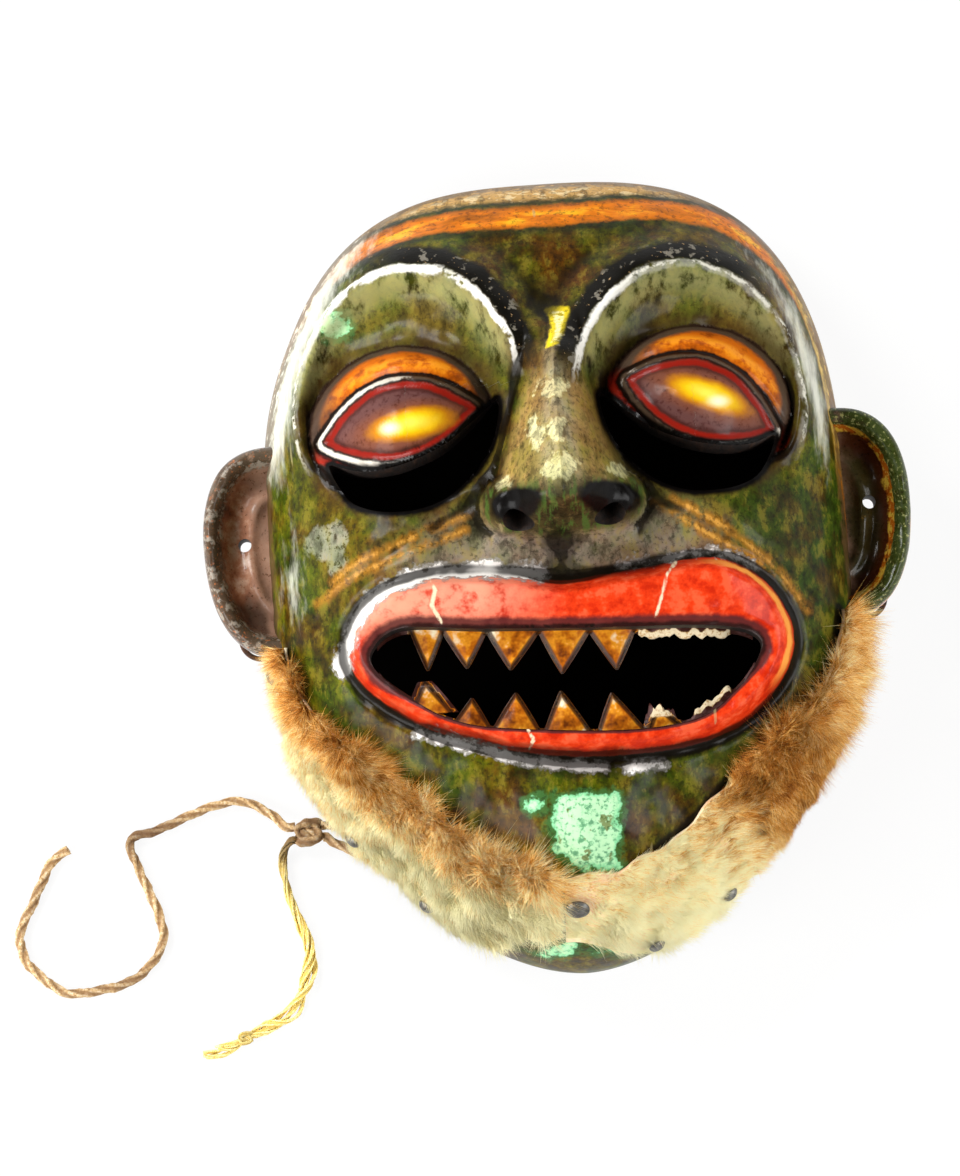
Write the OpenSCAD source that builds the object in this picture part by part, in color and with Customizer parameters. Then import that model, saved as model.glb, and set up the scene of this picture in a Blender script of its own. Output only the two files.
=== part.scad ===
// Carved and painted wooden folk mask with doweled ears, let-in teeth, a tacked hide beard and tie cords.
// Sizes are in millimetres. The mask lies on its back: +Z points out of the face, +Y to the crown, +X to
// the right of a person who looks at the face. The back rim lies in the plane z = 0.

/* [Face] */
// width of the face over its back rim, without the ears
face_w = 177; // [160:1:195]
// height of the face from chin to crown
face_h = 240; // [220:1:262]
// depth from the back rim to the front of the face, without nose and lips
face_d = 72; // [64:1:84]
// thickness of the side wall, which is also the width of the back rim
wall = 9; // [8:0.5:11]
// thickness of the front wall behind the cheeks
front_wall = 10; // [9:0.5:12]

/* [Features] */
// height of the nose tip above the face
nose_h = 33; // [24:1:38]
// bulge of each eye above its socket
eye_bulge = 17; // [12:1:20]
// depth of each eye socket below the face
socket_d = 7; // [4:0.5:9]
// rise of the brow ridges above the face
brow_h = 7; // [4:0.5:9]
// rise of the lips above the face
lip_h = 8; // [5:0.5:10]
// rise of the cheeks above the face
cheek_h = 5; // [3:0.5:7]
// rise of the chin above the face
chin_h = 7; // [4:0.5:9]
// width of each nostril
nostril_d = 9; // [6:0.5:11]
// depth of each nostril
nostril_l = 6; // [4:0.5:6.5]

/* [Mouth and teeth] */
// width of the mouth opening
mouth_w = 116; // [104:1:122]
// height of the mouth opening
mouth_h = 29; // [26:0.5:33]
// slope of the mouth and its teeth, in degrees
mouth_tilt = -3; // [-6:0.5:6]
// thickness of the two tooth strips
tooth_t = 3; // [2.4:0.1:3.6]
// length of one whole tooth below its strip
tooth_l = 9.5; // [8:0.5:11]
// distance from one tooth to the next
tooth_pitch = 13.6; // [12:0.2:15]
// plain stretch of each strip between its last tooth and the corner of the mouth
tooth_margin = 9.5; // [8:0.5:11]
// height of the strip that is let in behind the lip
strip_h = 5; // [4:0.25:6]
// how far the strips lie behind the front of the face
strip_set = 4; // [3:0.5:6]
// how far the strips bow back towards the corners of the mouth
strip_bow = 8; // [6:0.5:10]

/* [Ears] */
// how far each ear stands out beyond the back rim
ear_out = 17; // [13:1:21]
// height of each ear
ear_h = 63; // [52:1:72]
// thickness of each ear from front to back
ear_t = 18; // [15:1:21]
// width of the rim round the bowl of each ear
ear_rim = 4.5; // [3.5:0.5:6]
// depth of the bowl of each ear
ear_bowl = 10; // [7:0.5:11]
// diameter of the dowels that hold the ears
peg_d = 4; // [3:0.25:5]
// length of each dowel
peg_l = 16; // [14:0.5:18]
// diameter of the hole through the bowl of each ear
ear_hole_d = 4; // [3:0.5:5]

/* [Beard] */
// thickness of the hide strips with their flattened fur
hide_t = 5; // [4:0.5:7]
// diameter of the chin tack's head
chin_tack_d = 7; // [5:0.5:9]
// diameter of the other tack heads
tack_d = 5; // [4:0.5:7]
// diameter of the tack shanks
shank_d = 1.6; // [1.2:0.1:2.2]
// length of the tack shanks
shank_l = 10; // [8:0.5:11]

/* [Ties] */
// diameter of the four tie holes in the jaw
tie_hole_d = 4.4; // [4:0.2:6]
// height of the tie holes above the back rim
tie_z = 8.5; // [7:0.5:10]
// diameter of the wire of the loops behind the ears
wire_d = 1.6; // [1.2:0.1:2]
// distance between the two legs of each wire loop
wire_w = 12; // [10:0.5:15]

/* [Cords] */
// diameter of the tie cord
cord_d = 3; // [2.4:0.1:3.4]
// diameter of the frayed tail
frayed_d = 2.6; // [2:0.1:3.4]
// diameter of the knot
knot_d = 7.6; // [7:0.2:9]
// length of the knot
knot_l = 8; // [7:0.5:10]

/* [Hidden] */

// clearance round a dowel, shank or wire in its hole
fit = 0.05;
// gap under a hide or an ear root that follows the carved wood
seat_gap = 0.35;
// the features are laid out on a face of this size and stretch with the real one
sx = face_w / 177;
sy = face_h / 240;
// curve of the front into the sides
side_m = 3.4;
side_k = 2.4;
// steps round and across the carved surface
steps_round = 96;
steps_front = 38;
steps_back = 10;

// helpers
function clamp01(v) = v < 0 ? 0 : (v > 1 ? 1 : v);
function smooth(a, b, v) = let (s = clamp01((v - a) / (b - a))) s * s * (3 - 2 * s);
function soft(d) = d >= 1 ? 0 : pow(1 - d * d, 2);
function dist2(x, y, a, b) = sqrt(x * x / (a * a) + y * y / (b * b));
function unit(v) = v / norm(v);
function flat(rows) = [for (r = rows) each r];
function mix(a, b, s) = a + (b - a) * s;

// outline of the back rim, square at the temples, rounder at the crown's left and tapered to the chin
function outline_n(th) =
    1.8 + 1.45 * clamp01((sin(th) + 0.85) / 1.05) - (0.35 - 0.3 * cos(th)) * smooth(0.3, 0.75, sin(th));
function rim_r(th, a, b) =
    let (n = outline_n(th))
    pow(pow(abs(cos(th)) / a, n) + pow(abs(sin(th)) / b, n), -1 / n);
function dome(rho, h) = h * pow(max(0, 1 - pow(rho, side_m)), 1 / side_k);

// carved relief on the front, in the layout's millimetres
function brow_edge(x, y, s) = dist2(s * x - 41, y - 45 + s * 2.5, 33, 40);
function brow_reach(x, y, s) =
    let (v = y - 45 + s * 2.5) s * x > 41 ? smooth(-20, -4, v) : smooth(2, 16, v);
function brow(x, y, s) =
    let (e = brow_edge(x, y, s))
    brow_reach(x, y, s) * (e < 1.03 ? smooth(0.8, 1.03, e) : 1 - smooth(1.04, 1.43, e));
function socket(x, y, s) =
    let (e = brow_edge(x, y, s)) (1 - smooth(0.6, 1.0, e)) * smooth(-32, -10, y - 45);
function eye_dome(x, y, s) =
    let (d = dist2(s * x - 43.5, y - 41.5, 27, 24)) d >= 1 ? 0 : pow(1 - d * d, 0.67);
function nose_run(y) = clamp01((62 - y) / 44);
function nose(x, y) =
    let (s = nose_run(y), w = 8 + 13 * pow(s, 1.1), q = abs(x - 2) / w)
    q >= 1 ? 0 : (0.26 + 0.74 * s) * (0.35 * pow(1 - q * q, 0.75) + 0.65 * pow(1 - q, 0.9))
                 * smooth(1, 15, y) * (1 - smooth(58, 76, y));
function wing(x, y, s) =
    let (d = dist2(s * (x - 2) - 14, y - 14.5, 10.5, 9.5)) d >= 1 ? 0 : 0.46 * pow(1 - d * d, 0.7);
// lips: an outline that is drawn for a mouth of 116 by 29 and follows the real one
lip_outline = [[-63, -22], [-61, -15], [-56, -10], [-48, -6], [-38, -4], [-26, -4], [-15, -5],
               [0, -8], [9, -7.5], [18, -6.5], [31, -5], [44, -4.5], [53, -7.5], [60, -13],
               [65, -20.5], [66, -29], [63, -38], [57, -45], [38, -55.5], [23, -57.5], [8, -58],
               [-20, -54], [-42, -46], [-51, -41], [-58, -34.5], [-62, -28.5]];
function lip_place(x, y) =
    let (c = cos(mouth_tilt + 3), s = sin(mouth_tilt + 3), v = y + 36)
    [(c * x + s * v) * 116 / mouth_w, (c * v - s * x) * 29 / mouth_h - 36];
function edge_gap(p, a, b) = let (d = b - a) norm(p - a - clamp01((p - a) * d / (d * d)) * d);
function crosses(p, a, b) =
    (a.y > p.y) != (b.y > p.y) && p.x < (b.x - a.x) * (p.y - a.y) / (b.y - a.y) + a.x;
// distance from a closed outline, negative inside it
function loop_gap(p, loop) =
    let (n = len(loop),
         away = min([for (i = [0 : n - 1]) edge_gap(p, loop[i], loop[(i + 1) % n])]),
         hits = len([for (i = [0 : n - 1]) if (crosses(p, loop[i], loop[(i + 1) % n])) i]))
    hits % 2 == 1 ? -away : away;
function lips(x, y) = 1 - smooth(-4.2, 0.8, loop_gap(lip_place(x, y), lip_outline));
function relief(x, y) =
    nose_h * max(nose(x, y), wing(x, y, 1), wing(x, y, -1))
    + brow_h * max(brow(x, y, 1), brow(x, y, -1))
    - socket_d * max(socket(x, y, 1), socket(x, y, -1))
    + eye_bulge * max(eye_dome(x, y, 1), eye_dome(x, y, -1))
    + lip_h * lips(x, y)
    + cheek_h * soft(dist2(abs(x) - 50, y - 2, 26, 24))
    + chin_h * soft(dist2(x, y + 84, 32, 28));

// a point of the carved front: t runs from 0 at the middle to 1 at the back rim
function front(th, t) =
    let (rho = sin(90 * t), r = rim_r(th, face_w / 2, face_h / 2) * rho,
         x = r * cos(th), y = r * sin(th))
    [x, y, dome(rho, face_d) + relief(x / sx, y / sy) * (1 - smooth(0.86, 0.97, rho))];
// a point of the hollowed back
function hollow(th, t) =
    let (rho = sin(90 * t), r = rim_r(th, face_w / 2 - wall, face_h / 2 - wall) * rho,
         x = r * cos(th), y = r * sin(th))
    [x, y, dome(rho, face_d - front_wall)
           + 0.5 * nose_h * soft(dist2(x / sx - 2, y / sy - 24, 22, 34))];
function normal(th, t) =
    unit(cross(front(th, t + 0.004) - front(th, t - 0.004), front(th + 0.4, t) - front(th - 0.4, t)));
function above(th, t, h) = front(th, t) + h * normal(th, t);

// mouth and sight slits, each a closed list of points, the mouth about its own middle
mouth_y = -36 * sy;
function mouth_ring(angles, grow) =
    [for (a = angles)
        let (c = cos(a), s = sin(a),
             r = pow(pow(abs(c) / (mouth_w / 2 + grow), 2.6) + pow(abs(s) / (mouth_h / 2 + grow), 2.6),
                     -1 / 2.6))
        [r * c, r * s]];
function mouth_points(grow) = mouth_ring([0 : 6 : 354], grow);
function slit_points(s) =
    [for (p = [[15, 46.5], [22, 40], [30, 33.5], [40, 29], [50, 27.5], [58, 28.5], [65, 31],
               [60, 21], [54, 17], [47, 15.5], [38, 16], [29, 20], [21, 28], [16, 37]])
        [s * p.x * sx, p.y * sy]];

// tooth strips: the front of both strips is one barrel, so that they seat against one shoulder
strip_z = face_d - strip_set;
barrel_r = (pow(mouth_w / 2, 2) + pow(strip_bow, 2)) / (2 * strip_bow);
tooth_base = mouth_h / 2 - 0.8;
tooth_n = floor((mouth_w - 2 * tooth_margin) / tooth_pitch);
tooth_x = [for (i = [1 : tooth_n]) (i - (tooth_n + 1) / 2) * tooth_pitch - 0.5];
// the right two teeth of each strip are broken off and the first is worn: length that is left of each
function tooth_left(i) = i == 0 ? 0.9 : (i < tooth_n - 2 ? 1 : 0.15);
function saw() =
    flat([for (i = [0 : tooth_n - 1])
        [[tooth_x[i] - 0.46 * tooth_pitch, tooth_base],
         [tooth_x[i], tooth_base - tooth_l * tooth_left(i)],
         [tooth_x[i] + 0.46 * tooth_pitch, tooth_base]]]);
// clearance of the strips in their rebate
strip_slack = 0.3;
function strip_points(s) =
    [for (p = concat(mouth_ring([8 : 6 : 172], strip_h - strip_slack), saw())) [p.x, s * p.y]];

// ears: a bowl that is cut to the side of the head at its root
ear_y = 11 * sy;
ear_z = 16;
ear_root = face_w / 2 - 9;
ear_floor = ear_t - ear_bowl;
peg_y = ear_h / 4;
peg_z = ear_z + ear_floor / 2;
peg_x = face_w / 2 - wall - 1;
function ear_points(inset) =
    concat(
        [for (a = [0 : 10 : 180])
            [ear_root + (ear_out + 9 - inset) * pow(sin(a), 0.8),
             ear_y + (ear_h / 2 - inset) * cos(a)]],
        [[ear_root - 3, ear_y - ear_h / 2 + inset], [ear_root - 3, ear_y + ear_h / 2 - inset]]);

// the side of the head under an ear, at a height above the wood
function seat_grid(h) =
    [for (i = [0 : 18]) [for (k = [0 : 14]) above(mix(42, -24, i / 18), mix(0.52, 0.985, k / 14), h)]];

// beard: strips between two edges of the carved surface, u runs from the ear to the chin
hide_from = -13;
hide_to = -93;
hide_part = -85;
function hide_top(u) = u < 0.5 ? mix(0.74, 0.57, smooth(0, 0.5, u)) : mix(0.57, 0.555, u * 2 - 1);
function hide_low(u) = u < 0.78 ? 0.915 : mix(0.915, 0.73, smooth(0.78, 1, u));
function pile(s) = 0.35 + 0.65 * pow(sin(180 * s), 0.6);
function hide_row(th, u, side) =
    [for (k = [0 : 8])
        let (s = k / 8, t = mix(hide_top(u), hide_low(u), s))
        above(th, t, side == 0 ? seat_gap : seat_gap + hide_t * pile(s))];
function hide_grid(a, b, side) =
    [for (i = [0 : 20]) let (u = i / 20) hide_row(mix(a, b, u), u, side)];
// tack places: angle round the face and place between middle and rim
chin_tack_at = [[-91, 0.62]];
right_tacks_at = [[-17, 0.83], [-67, 0.84], [-80, 0.82]];
// the left tacks are counted on the right side and mirrored
left_tacks_at = [[-17, 0.83], [-49, 0.84], [-65, 0.84]];
tack_h = seat_gap + 0.55 * hide_t;
head_h = 1.5;

// ties
tie_at = [-44.5, -51.5];
wire_y = -13 * sy;
wire_z = 9.5;
wire_reach = 3;
function tie_point(th) = let (r = rim_r(th, face_w / 2, face_h / 2)) [r * cos(th), r * sin(th), tie_z];
function on_left(p) = [-p.x, p.y, p.z];

// cords: the knot lies on the table beside the left tie holes, its ends face along X
knot_at = on_left(tie_point(tie_at[0])) + [-5.5 - knot_l, -1.5, knot_d / 2 - tie_z];
tie_in = [-1, 0, 0];
hole_a = tie_point(tie_at[0]);
hole_b = tie_point(tie_at[1]);
strand = 0.25 * knot_d;
loop_route = [
    knot_at + [knot_l, strand, 0],
    knot_at + [knot_l + 2, strand, 0.6],
    on_left(hole_a - 1.5 * tie_in),
    on_left(hole_a + 2 * tie_in),
    on_left(hole_a + wall * tie_in),
    on_left(hole_a + (wall + 12) * tie_in) + [0, 0.4, 0],
    on_left(hole_a + (wall + 19) * tie_in) + [0, 2, 0],
    on_left(mix(hole_a, hole_b, 0.5) + (wall + 21) * tie_in),
    on_left(hole_b + (wall + 12) * tie_in) + [0, -0.2, 0],
    on_left(hole_b + (wall + 4) * tie_in),
    on_left(hole_b + wall * tie_in),
    on_left(hole_b + 2 * tie_in),
    on_left(hole_b - 1.5 * tie_in),
    knot_at + [knot_l + 4, -strand - 2, 0.4],
    knot_at + [knot_l + 1.5, -strand, 0],
    knot_at + [knot_l, -strand, 0]];
// offsets from the outer end of the knot, laid along the table
long_offsets = [[0, 0], [-3, 0.5], [-8, 5], [-16, 9], [-25, 8], [-34, 5], [-42, 2], [-49, 0.5],
                [-50.5, -2], [-49, -7], [-46, -15], [-43, -23], [-42, -31], [-46, -38], [-53, -43],
                [-63, -45], [-72, -45], [-79, -40], [-84, -34], [-85, -26], [-81, -18], [-77, -10],
                [-74, -5], [-69, -2]];
frayed_offsets = [[0, 0], [-2, -0.5], [-4.5, -5], [-4, -13], [-2, -21], [1, -29], [2, -36], [0, -44],
                  [-4, -51], [-10, -55], [-18, -58], [-25, -61], [-32, -62]];
function lie(d, i) = d / 2 + 0.1 + (knot_d / 2 - d / 2 - 0.1) * pow(0.45, i);
function laid(offsets, side, d) =
    [for (i = [0 : len(offsets) - 1])
        [knot_at.x + offsets[i].x, knot_at.y + side + offsets[i].y, i < 2 ? knot_at.z : lie(d, i)]];

// a round tube along a smooth line through its route points
function spline(p, i, f) =
    let (n = len(p) - 1, a = p[max(i - 1, 0)], b = p[i], c = p[min(i + 1, n)], d = p[min(i + 2, n)])
    0.5 * (2 * b + (c - a) * f + (2 * a - 5 * b + 4 * c - d) * f * f + (3 * b - a - 3 * c + d) * f * f * f);
function line(p, per) =
    concat([for (i = [0 : len(p) - 2]) each [for (k = [0 : per - 1]) spline(p, i, k / per)]],
           [p[len(p) - 1]]);
function heading(q, i) =
    let (n = len(q) - 1)
    unit(i == 0 ? q[1] - q[0] : (i == n ? q[n] - q[n - 1] : q[i + 1] - q[i - 1]));
function ring(c, h, r, sides) =
    let (a = unit(cross(h, [0, 0, 1])), b = cross(a, h))
    [for (k = [0 : sides - 1]) c + r * (cos(360 * k / sides) * a + sin(360 * k / sides) * b)];

module tube(route, d, per, ends) {
    q = line(route, per);
    n = len(q) - 1;
    sides = 8;
    rings = [for (i = [0 : n])
        ring(q[i], i == 0 ? ends[0] : (i == n ? ends[1] : heading(q, i)), d / 2, sides)];
    polyhedron(
        points = flat(rings),
        faces = concat(
            [[for (k = [0 : sides - 1]) k]],
            [[for (k = [sides - 1 : -1 : 0]) n * sides + k]],
            flat([for (i = [0 : n - 1]) flat([for (k = [0 : sides - 1])
                let (a = i * sides + k, b = i * sides + (k + 1) % sides)
                [[a, a + sides, b], [b, a + sides, b + sides]]])])));
}

// a closed slab between two grids of points
module slab(low, high) {
    rows = len(low);
    cols = len(low[0]);
    top = rows * cols;
    polyhedron(
        points = concat(flat(low), flat(high)),
        faces = flat([
            flat([for (i = [0 : rows - 2]) flat([for (k = [0 : cols - 2])
                let (a = i * cols + k, b = a + cols)
                [[a, b, a + 1], [a + 1, b, b + 1],
                 [top + a, top + a + 1, top + b], [top + a + 1, top + b + 1, top + b]]])]),
            flat([for (i = [0 : rows - 2])
                let (a = i * cols, b = a + cols, c = a + cols - 1, d = b + cols - 1)
                [[a, top + a, b], [b, top + a, top + b], [c, d, top + c], [d, top + d, top + c]]]),
            flat([for (k = [0 : cols - 2])
                let (a = k, b = k + 1, c = (rows - 1) * cols + k, d = c + 1)
                [[a, b, top + a], [b, top + b, top + a], [c, top + c, d], [d, top + c, top + d]]])]));
}

// stands its children on the carved surface, pointing out of the wood
module standing(place, h) {
    n = normal(place[0], place[1]);
    translate(above(place[0], place[1], h))
        rotate([0, acos(n.z), atan2(n.y, n.x)])
            children();
}

module carved_block() {
    out = [for (j = [1 : steps_front]) [for (i = [0 : steps_round - 1])
        front(360 * i / steps_round, j / steps_front)]];
    back = [for (j = [1 : steps_back]) [for (i = [0 : steps_round - 1])
        hollow(360 * i / steps_round, j / steps_back)]];
    n = steps_round;
    inner = 1 + steps_front * n;
    last = inner + steps_back * n;
    polyhedron(
        points = concat([front(0, 0)], flat(out), flat(back), [hollow(0, 0)]),
        faces = flat([
            [for (i = [0 : n - 1]) [0, 1 + (i + 1) % n, 1 + i]],
            flat([for (j = [0 : steps_front - 2]) flat([for (i = [0 : n - 1])
                let (a = 1 + j * n + i, b = 1 + j * n + (i + 1) % n, th = 360 * (i + 0.5) / n)
                cos(th) * sin(th) > 0 ? [[a, b, a + n], [b, b + n, a + n]]
                                      : [[a, b, b + n], [a, b + n, a + n]]])]),
            flat([for (i = [0 : n - 1])
                let (a = 1 + (steps_front - 1) * n, b = inner + (steps_back - 1) * n, k = (i + 1) % n)
                [[a + i, a + k, b + i], [a + k, b + k, b + i]]]),
            flat([for (j = [0 : steps_back - 2]) flat([for (i = [0 : n - 1])
                let (a = inner + j * n + i, b = inner + j * n + (i + 1) % n)
                [[a, a + n, b], [b, a + n, b + n]]])]),
            [for (i = [0 : n - 1]) [last, inner + i, inner + (i + 1) % n]]]));
}

module barrel(r) {
    translate([0, mouth_y - 2 * mouth_h, strip_z - barrel_r])
        rotate([-90, 0, 0])
            cylinder(h = 4 * mouth_h, r = r, $fn = 180);
}

// an upright prism over points about the middle of the mouth
module mouth_prism(points) {
    translate([0, mouth_y, face_d / 3])
        rotate([0, 0, mouth_tilt])
            linear_extrude(height = 2 * face_d)
                polygon(points);
}

module side_bores(s) {
    for (y = [-peg_y, peg_y])
        translate([s * (peg_x - wall), ear_y + y, peg_z])
            rotate([0, s * 90, 0])
                cylinder(h = peg_l + wall, d = peg_d + 2 * fit, $fn = 32);
    for (y = [-wire_w / 2, wire_w / 2])
        translate([s * (face_w / 2 - 2 * wall), wire_y + y, wire_z])
            rotate([0, s * 90, 0])
                cylinder(h = 4 * wall, d = wire_d + 2 * fit, $fn = 24);
    for (th = tie_at)
        translate([s * tie_point(th).x, tie_point(th).y, tie_z])
            rotate([0, 90, 0])
                translate([0, 0, -2 * wall])
                    cylinder(h = 4 * wall, d = tie_hole_d, $fn = 32);
}

module shank_bores(places, slack) {
    for (p = places)
        standing(p, tack_h - shank_l - slack)
            cylinder(h = shank_l + slack, d = shank_d + 2 * fit, $fn = 24);
}

module face_shell() {
    color("#4a4a20")
    difference() {
        carved_block();
        mouth_prism(mouth_points(0));
        intersection() {
            mouth_prism(mouth_points(strip_h));
            barrel(barrel_r);
        }
        for (s = [-1, 1]) {
            translate([0, 0, face_d / 3])
                linear_extrude(height = face_d)
                    polygon(slit_points(s));
            translate([2 * sx + s * 13 * sx, 13 * sy, face_d + 0.28 * nose_h])
                rotate([65, 0, 0])
                    translate([0, 0, -nostril_l])
                        cylinder(h = nostril_l + 20, d = nostril_d, $fn = 32);
            side_bores(s);
        }
        shank_bores(chin_tack_at, 0.3);
        shank_bores(right_tacks_at, 0.3);
        mirror([1, 0, 0])
            shank_bores(left_tacks_at, 0.3);
    }
}

module ear() {
    color("#6b4a1e")
    difference() {
        translate([0, 0, ear_z])
            linear_extrude(height = ear_t)
                polygon(ear_points(0));
        translate([0, 0, ear_z + ear_floor])
            linear_extrude(height = ear_t)
                polygon(ear_points(ear_rim));
        translate([face_w / 2 + 0.3 * ear_out, ear_y + 3, 0])
            cylinder(h = ear_z + ear_t, d = ear_hole_d, $fn = 32);
        slab(seat_grid(-14), seat_grid(seat_gap));
        for (y = [-peg_y, peg_y])
            translate([peg_x, ear_y + y, peg_z])
                rotate([0, 90, 0])
                    cylinder(h = peg_l + 0.3, d = peg_d + 2 * fit, $fn = 32);
    }
}

module left_ear() {
    mirror([1, 0, 0])
        ear();
}

module right_ear() {
    ear();
}

module ear_pegs(s) {
    color("#7a5a30")
    for (y = [-peg_y, peg_y])
        translate([s * peg_x, ear_y + y, peg_z])
            rotate([0, s * 90, 0])
                cylinder(h = peg_l, d = peg_d, $fn = 32);
}

module left_ear_pegs() {
    ear_pegs(-1);
}

module right_ear_pegs() {
    ear_pegs(1);
}

module tooth_strip(s) {
    color("#b07a20")
    difference() {
        intersection() {
            mouth_prism(strip_points(s));
            barrel(barrel_r);
        }
        barrel(barrel_r - tooth_t);
    }
}

module upper_teeth() {
    tooth_strip(1);
}

module lower_teeth() {
    tooth_strip(-1);
}

module hide(a, b) {
    color("#a08a60")
    difference() {
        slab(hide_grid(a, b, 0), hide_grid(a, b, 1));
        children();
    }
}

// room in a hide for tack heads and their shanks
module tack_seats(places, d) {
    for (p = places) {
        standing(p, tack_h)
            cylinder(h = 2 * hide_t, d = d + 0.6, $fn = 32);
        standing(p, -1)
            cylinder(h = 2 * hide_t, d = shank_d + 2 * fit, $fn = 24);
    }
}

module right_beard_hide() {
    hide(hide_from, hide_to) {
        tack_seats(right_tacks_at, tack_d);
        tack_seats(chin_tack_at, chin_tack_d);
    }
}

module left_beard_hide() {
    mirror([1, 0, 0])
        hide(hide_from, hide_part)
            tack_seats(left_tacks_at, tack_d);
}

module tacks(places, d) {
    color("#70706c")
    for (p = places)
        standing(p, tack_h)
            rotate_extrude($fn = 32)
                polygon([[0, -shank_l], [shank_d / 2, 2.5 - shank_l], [shank_d / 2, 0], [d / 2, 0],
                         [d / 2, 0.25 * head_h], [0.38 * d, 0.7 * head_h], [0.2 * d, 0.95 * head_h],
                         [0, head_h]]);
}

module chin_tack() {
    tacks(chin_tack_at, chin_tack_d);
}

module left_beard_tacks() {
    mirror([1, 0, 0])
        tacks(left_tacks_at, tack_d);
}

module right_beard_tacks() {
    tacks(right_tacks_at, tack_d);
}

module tie_wire(s) {
    out = s * (face_w / 2 + wire_reach);
    legs = wall + wire_reach + 2;
    color("#4a3626")
    union() {
        for (y = [-wire_w / 2, wire_w / 2])
            translate([out, wire_y + y, wire_z])
                rotate([0, -s * 90, 0])
                    cylinder(h = legs, d = wire_d, $fn = 24);
        translate([out, wire_y, wire_z])
            rotate([0, 0, s > 0 ? -90 : 90])
                rotate_extrude(angle = 180, $fn = 48)
                    translate([wire_w / 2, 0])
                        circle(d = wire_d, $fn = 24);
    }
}

module left_tie_wire() {
    tie_wire(-1);
}

module right_tie_wire() {
    tie_wire(1);
}

module tie_loop() {
    color("#8a6a48")
    tube(loop_route, cord_d, 2, [[1, 0, 0], [-1, 0, 0]]);
}

module tie_knot() {
    color("#7a5a3c")
    translate(knot_at)
        rotate([0, 90, 0])
            rotate_extrude($fn = 32)
                polygon([[0, 0], [0.46 * knot_d, 0], [0.5 * knot_d, 0.2 * knot_l],
                         [0.5 * knot_d, 0.8 * knot_l], [0.46 * knot_d, knot_l], [0, knot_l]]);
}

module long_cord() {
    color("#8a6a48")
    tube(laid(long_offsets, strand, cord_d), cord_d, 3, [[-1, 0, 0], [1, 0.5, 0]]);
}

module frayed_cord() {
    color("#c8b070")
    tube(laid(frayed_offsets, -strand, frayed_d), frayed_d, 3, [[-1, 0, 0], [-1, 0, 0]]);
}

face_shell();
left_ear();
right_ear();
left_ear_pegs();
right_ear_pegs();
upper_teeth();
lower_teeth();
left_beard_hide();
right_beard_hide();
chin_tack();
left_beard_tacks();
right_beard_tacks();
left_tie_wire();
right_tie_wire();
tie_loop();
tie_knot();
long_cord();
frayed_cord();
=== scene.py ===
"""Dresses the carved folk mask: painted wood, teeth, fur beard, tie cord, table, light and camera.

Lengths are in millimetres inside the classes and become metres where a mesh is made. The frame is the
part's own: +Z out of the face, +Y to the crown, +X to the right of a person who looks at the face.
"""

import logging
from dataclasses import dataclass, field
from enum import Enum
from functools import partial
from math import cos, pi, radians, sin
from typing import Sequence

import bmesh
import bpy
import numpy as np
from mathutils import Matrix, Vector


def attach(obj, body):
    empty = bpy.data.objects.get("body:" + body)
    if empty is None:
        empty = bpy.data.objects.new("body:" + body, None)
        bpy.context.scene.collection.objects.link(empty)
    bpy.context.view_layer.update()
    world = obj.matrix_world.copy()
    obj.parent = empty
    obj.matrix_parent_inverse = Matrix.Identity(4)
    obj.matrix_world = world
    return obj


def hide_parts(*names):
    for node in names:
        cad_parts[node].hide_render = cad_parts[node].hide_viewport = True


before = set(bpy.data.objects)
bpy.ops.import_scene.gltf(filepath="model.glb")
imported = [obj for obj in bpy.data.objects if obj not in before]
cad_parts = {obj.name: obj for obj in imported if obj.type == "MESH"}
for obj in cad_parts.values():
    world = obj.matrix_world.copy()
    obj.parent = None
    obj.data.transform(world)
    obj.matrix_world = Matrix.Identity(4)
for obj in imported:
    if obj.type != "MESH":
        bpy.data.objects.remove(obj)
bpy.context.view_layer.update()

MM = 0.001
BODY = "root"
LOG = logging.getLogger("folk_mask")
Array = np.ndarray
Object = bpy.types.Object
Socket = bpy.types.NodeSocket
Value = Socket | str
Point = tuple[float, float]
Place = tuple[float, float, float]
Skin = tuple[Array, Array, Array]


class Side(Enum):
    """Half of the mask, as a person sees it who looks at the face."""

    LEFT = -1
    RIGHT = 1


def smooth(low: float, high: float, value: Array) -> Array:
    """Eases from 0 at low to 1 at high; with low above high it falls as the value grows."""
    s = np.clip((value - low) / (high - low), 0, 1)
    return s * s * (3 - 2 * s)


def soft(distance: Array) -> Array:
    """Gives a round hump that is 1 in the middle and 0 from a distance of 1."""
    return np.square(np.clip(1 - np.square(distance), 0, None))


def bell(value: Array, middle: float, width: float) -> Array:
    """Gives a smooth peak of height 1 at the middle."""
    return np.exp(-np.square((value - middle) / width))


def oval(x: Array, y: Array, half_x: float, half_y: float) -> Array:
    """Gives the place inside an ellipse: 0 in the middle and 1 on its edge."""
    return np.hypot(x / half_x, y / half_y)


def unit(ways: Array) -> Array:
    """Gives directions of length 1."""
    return ways / np.linalg.norm(ways, axis=-1, keepdims=True)


def ripple(points: Array, size: float, seed: int) -> Array:
    """Gives seeded smooth unevenness of about one unit.

    Args:
        points: Rows of coordinates.
        size: Distance between crests.
        seed: Fixes the pattern.

    Returns:
        One value a row.
    """
    rng = np.random.default_rng(seed)
    waves = unit(rng.normal(size=(16, points.shape[1])))
    waves *= (2 * pi / size) * rng.uniform(0.7, 1.5, size=(16, 1))
    turns = rng.uniform(0, 2 * pi, size=16)
    return np.cos(points @ waves.T + turns).sum(axis=1) / 2.8


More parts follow.
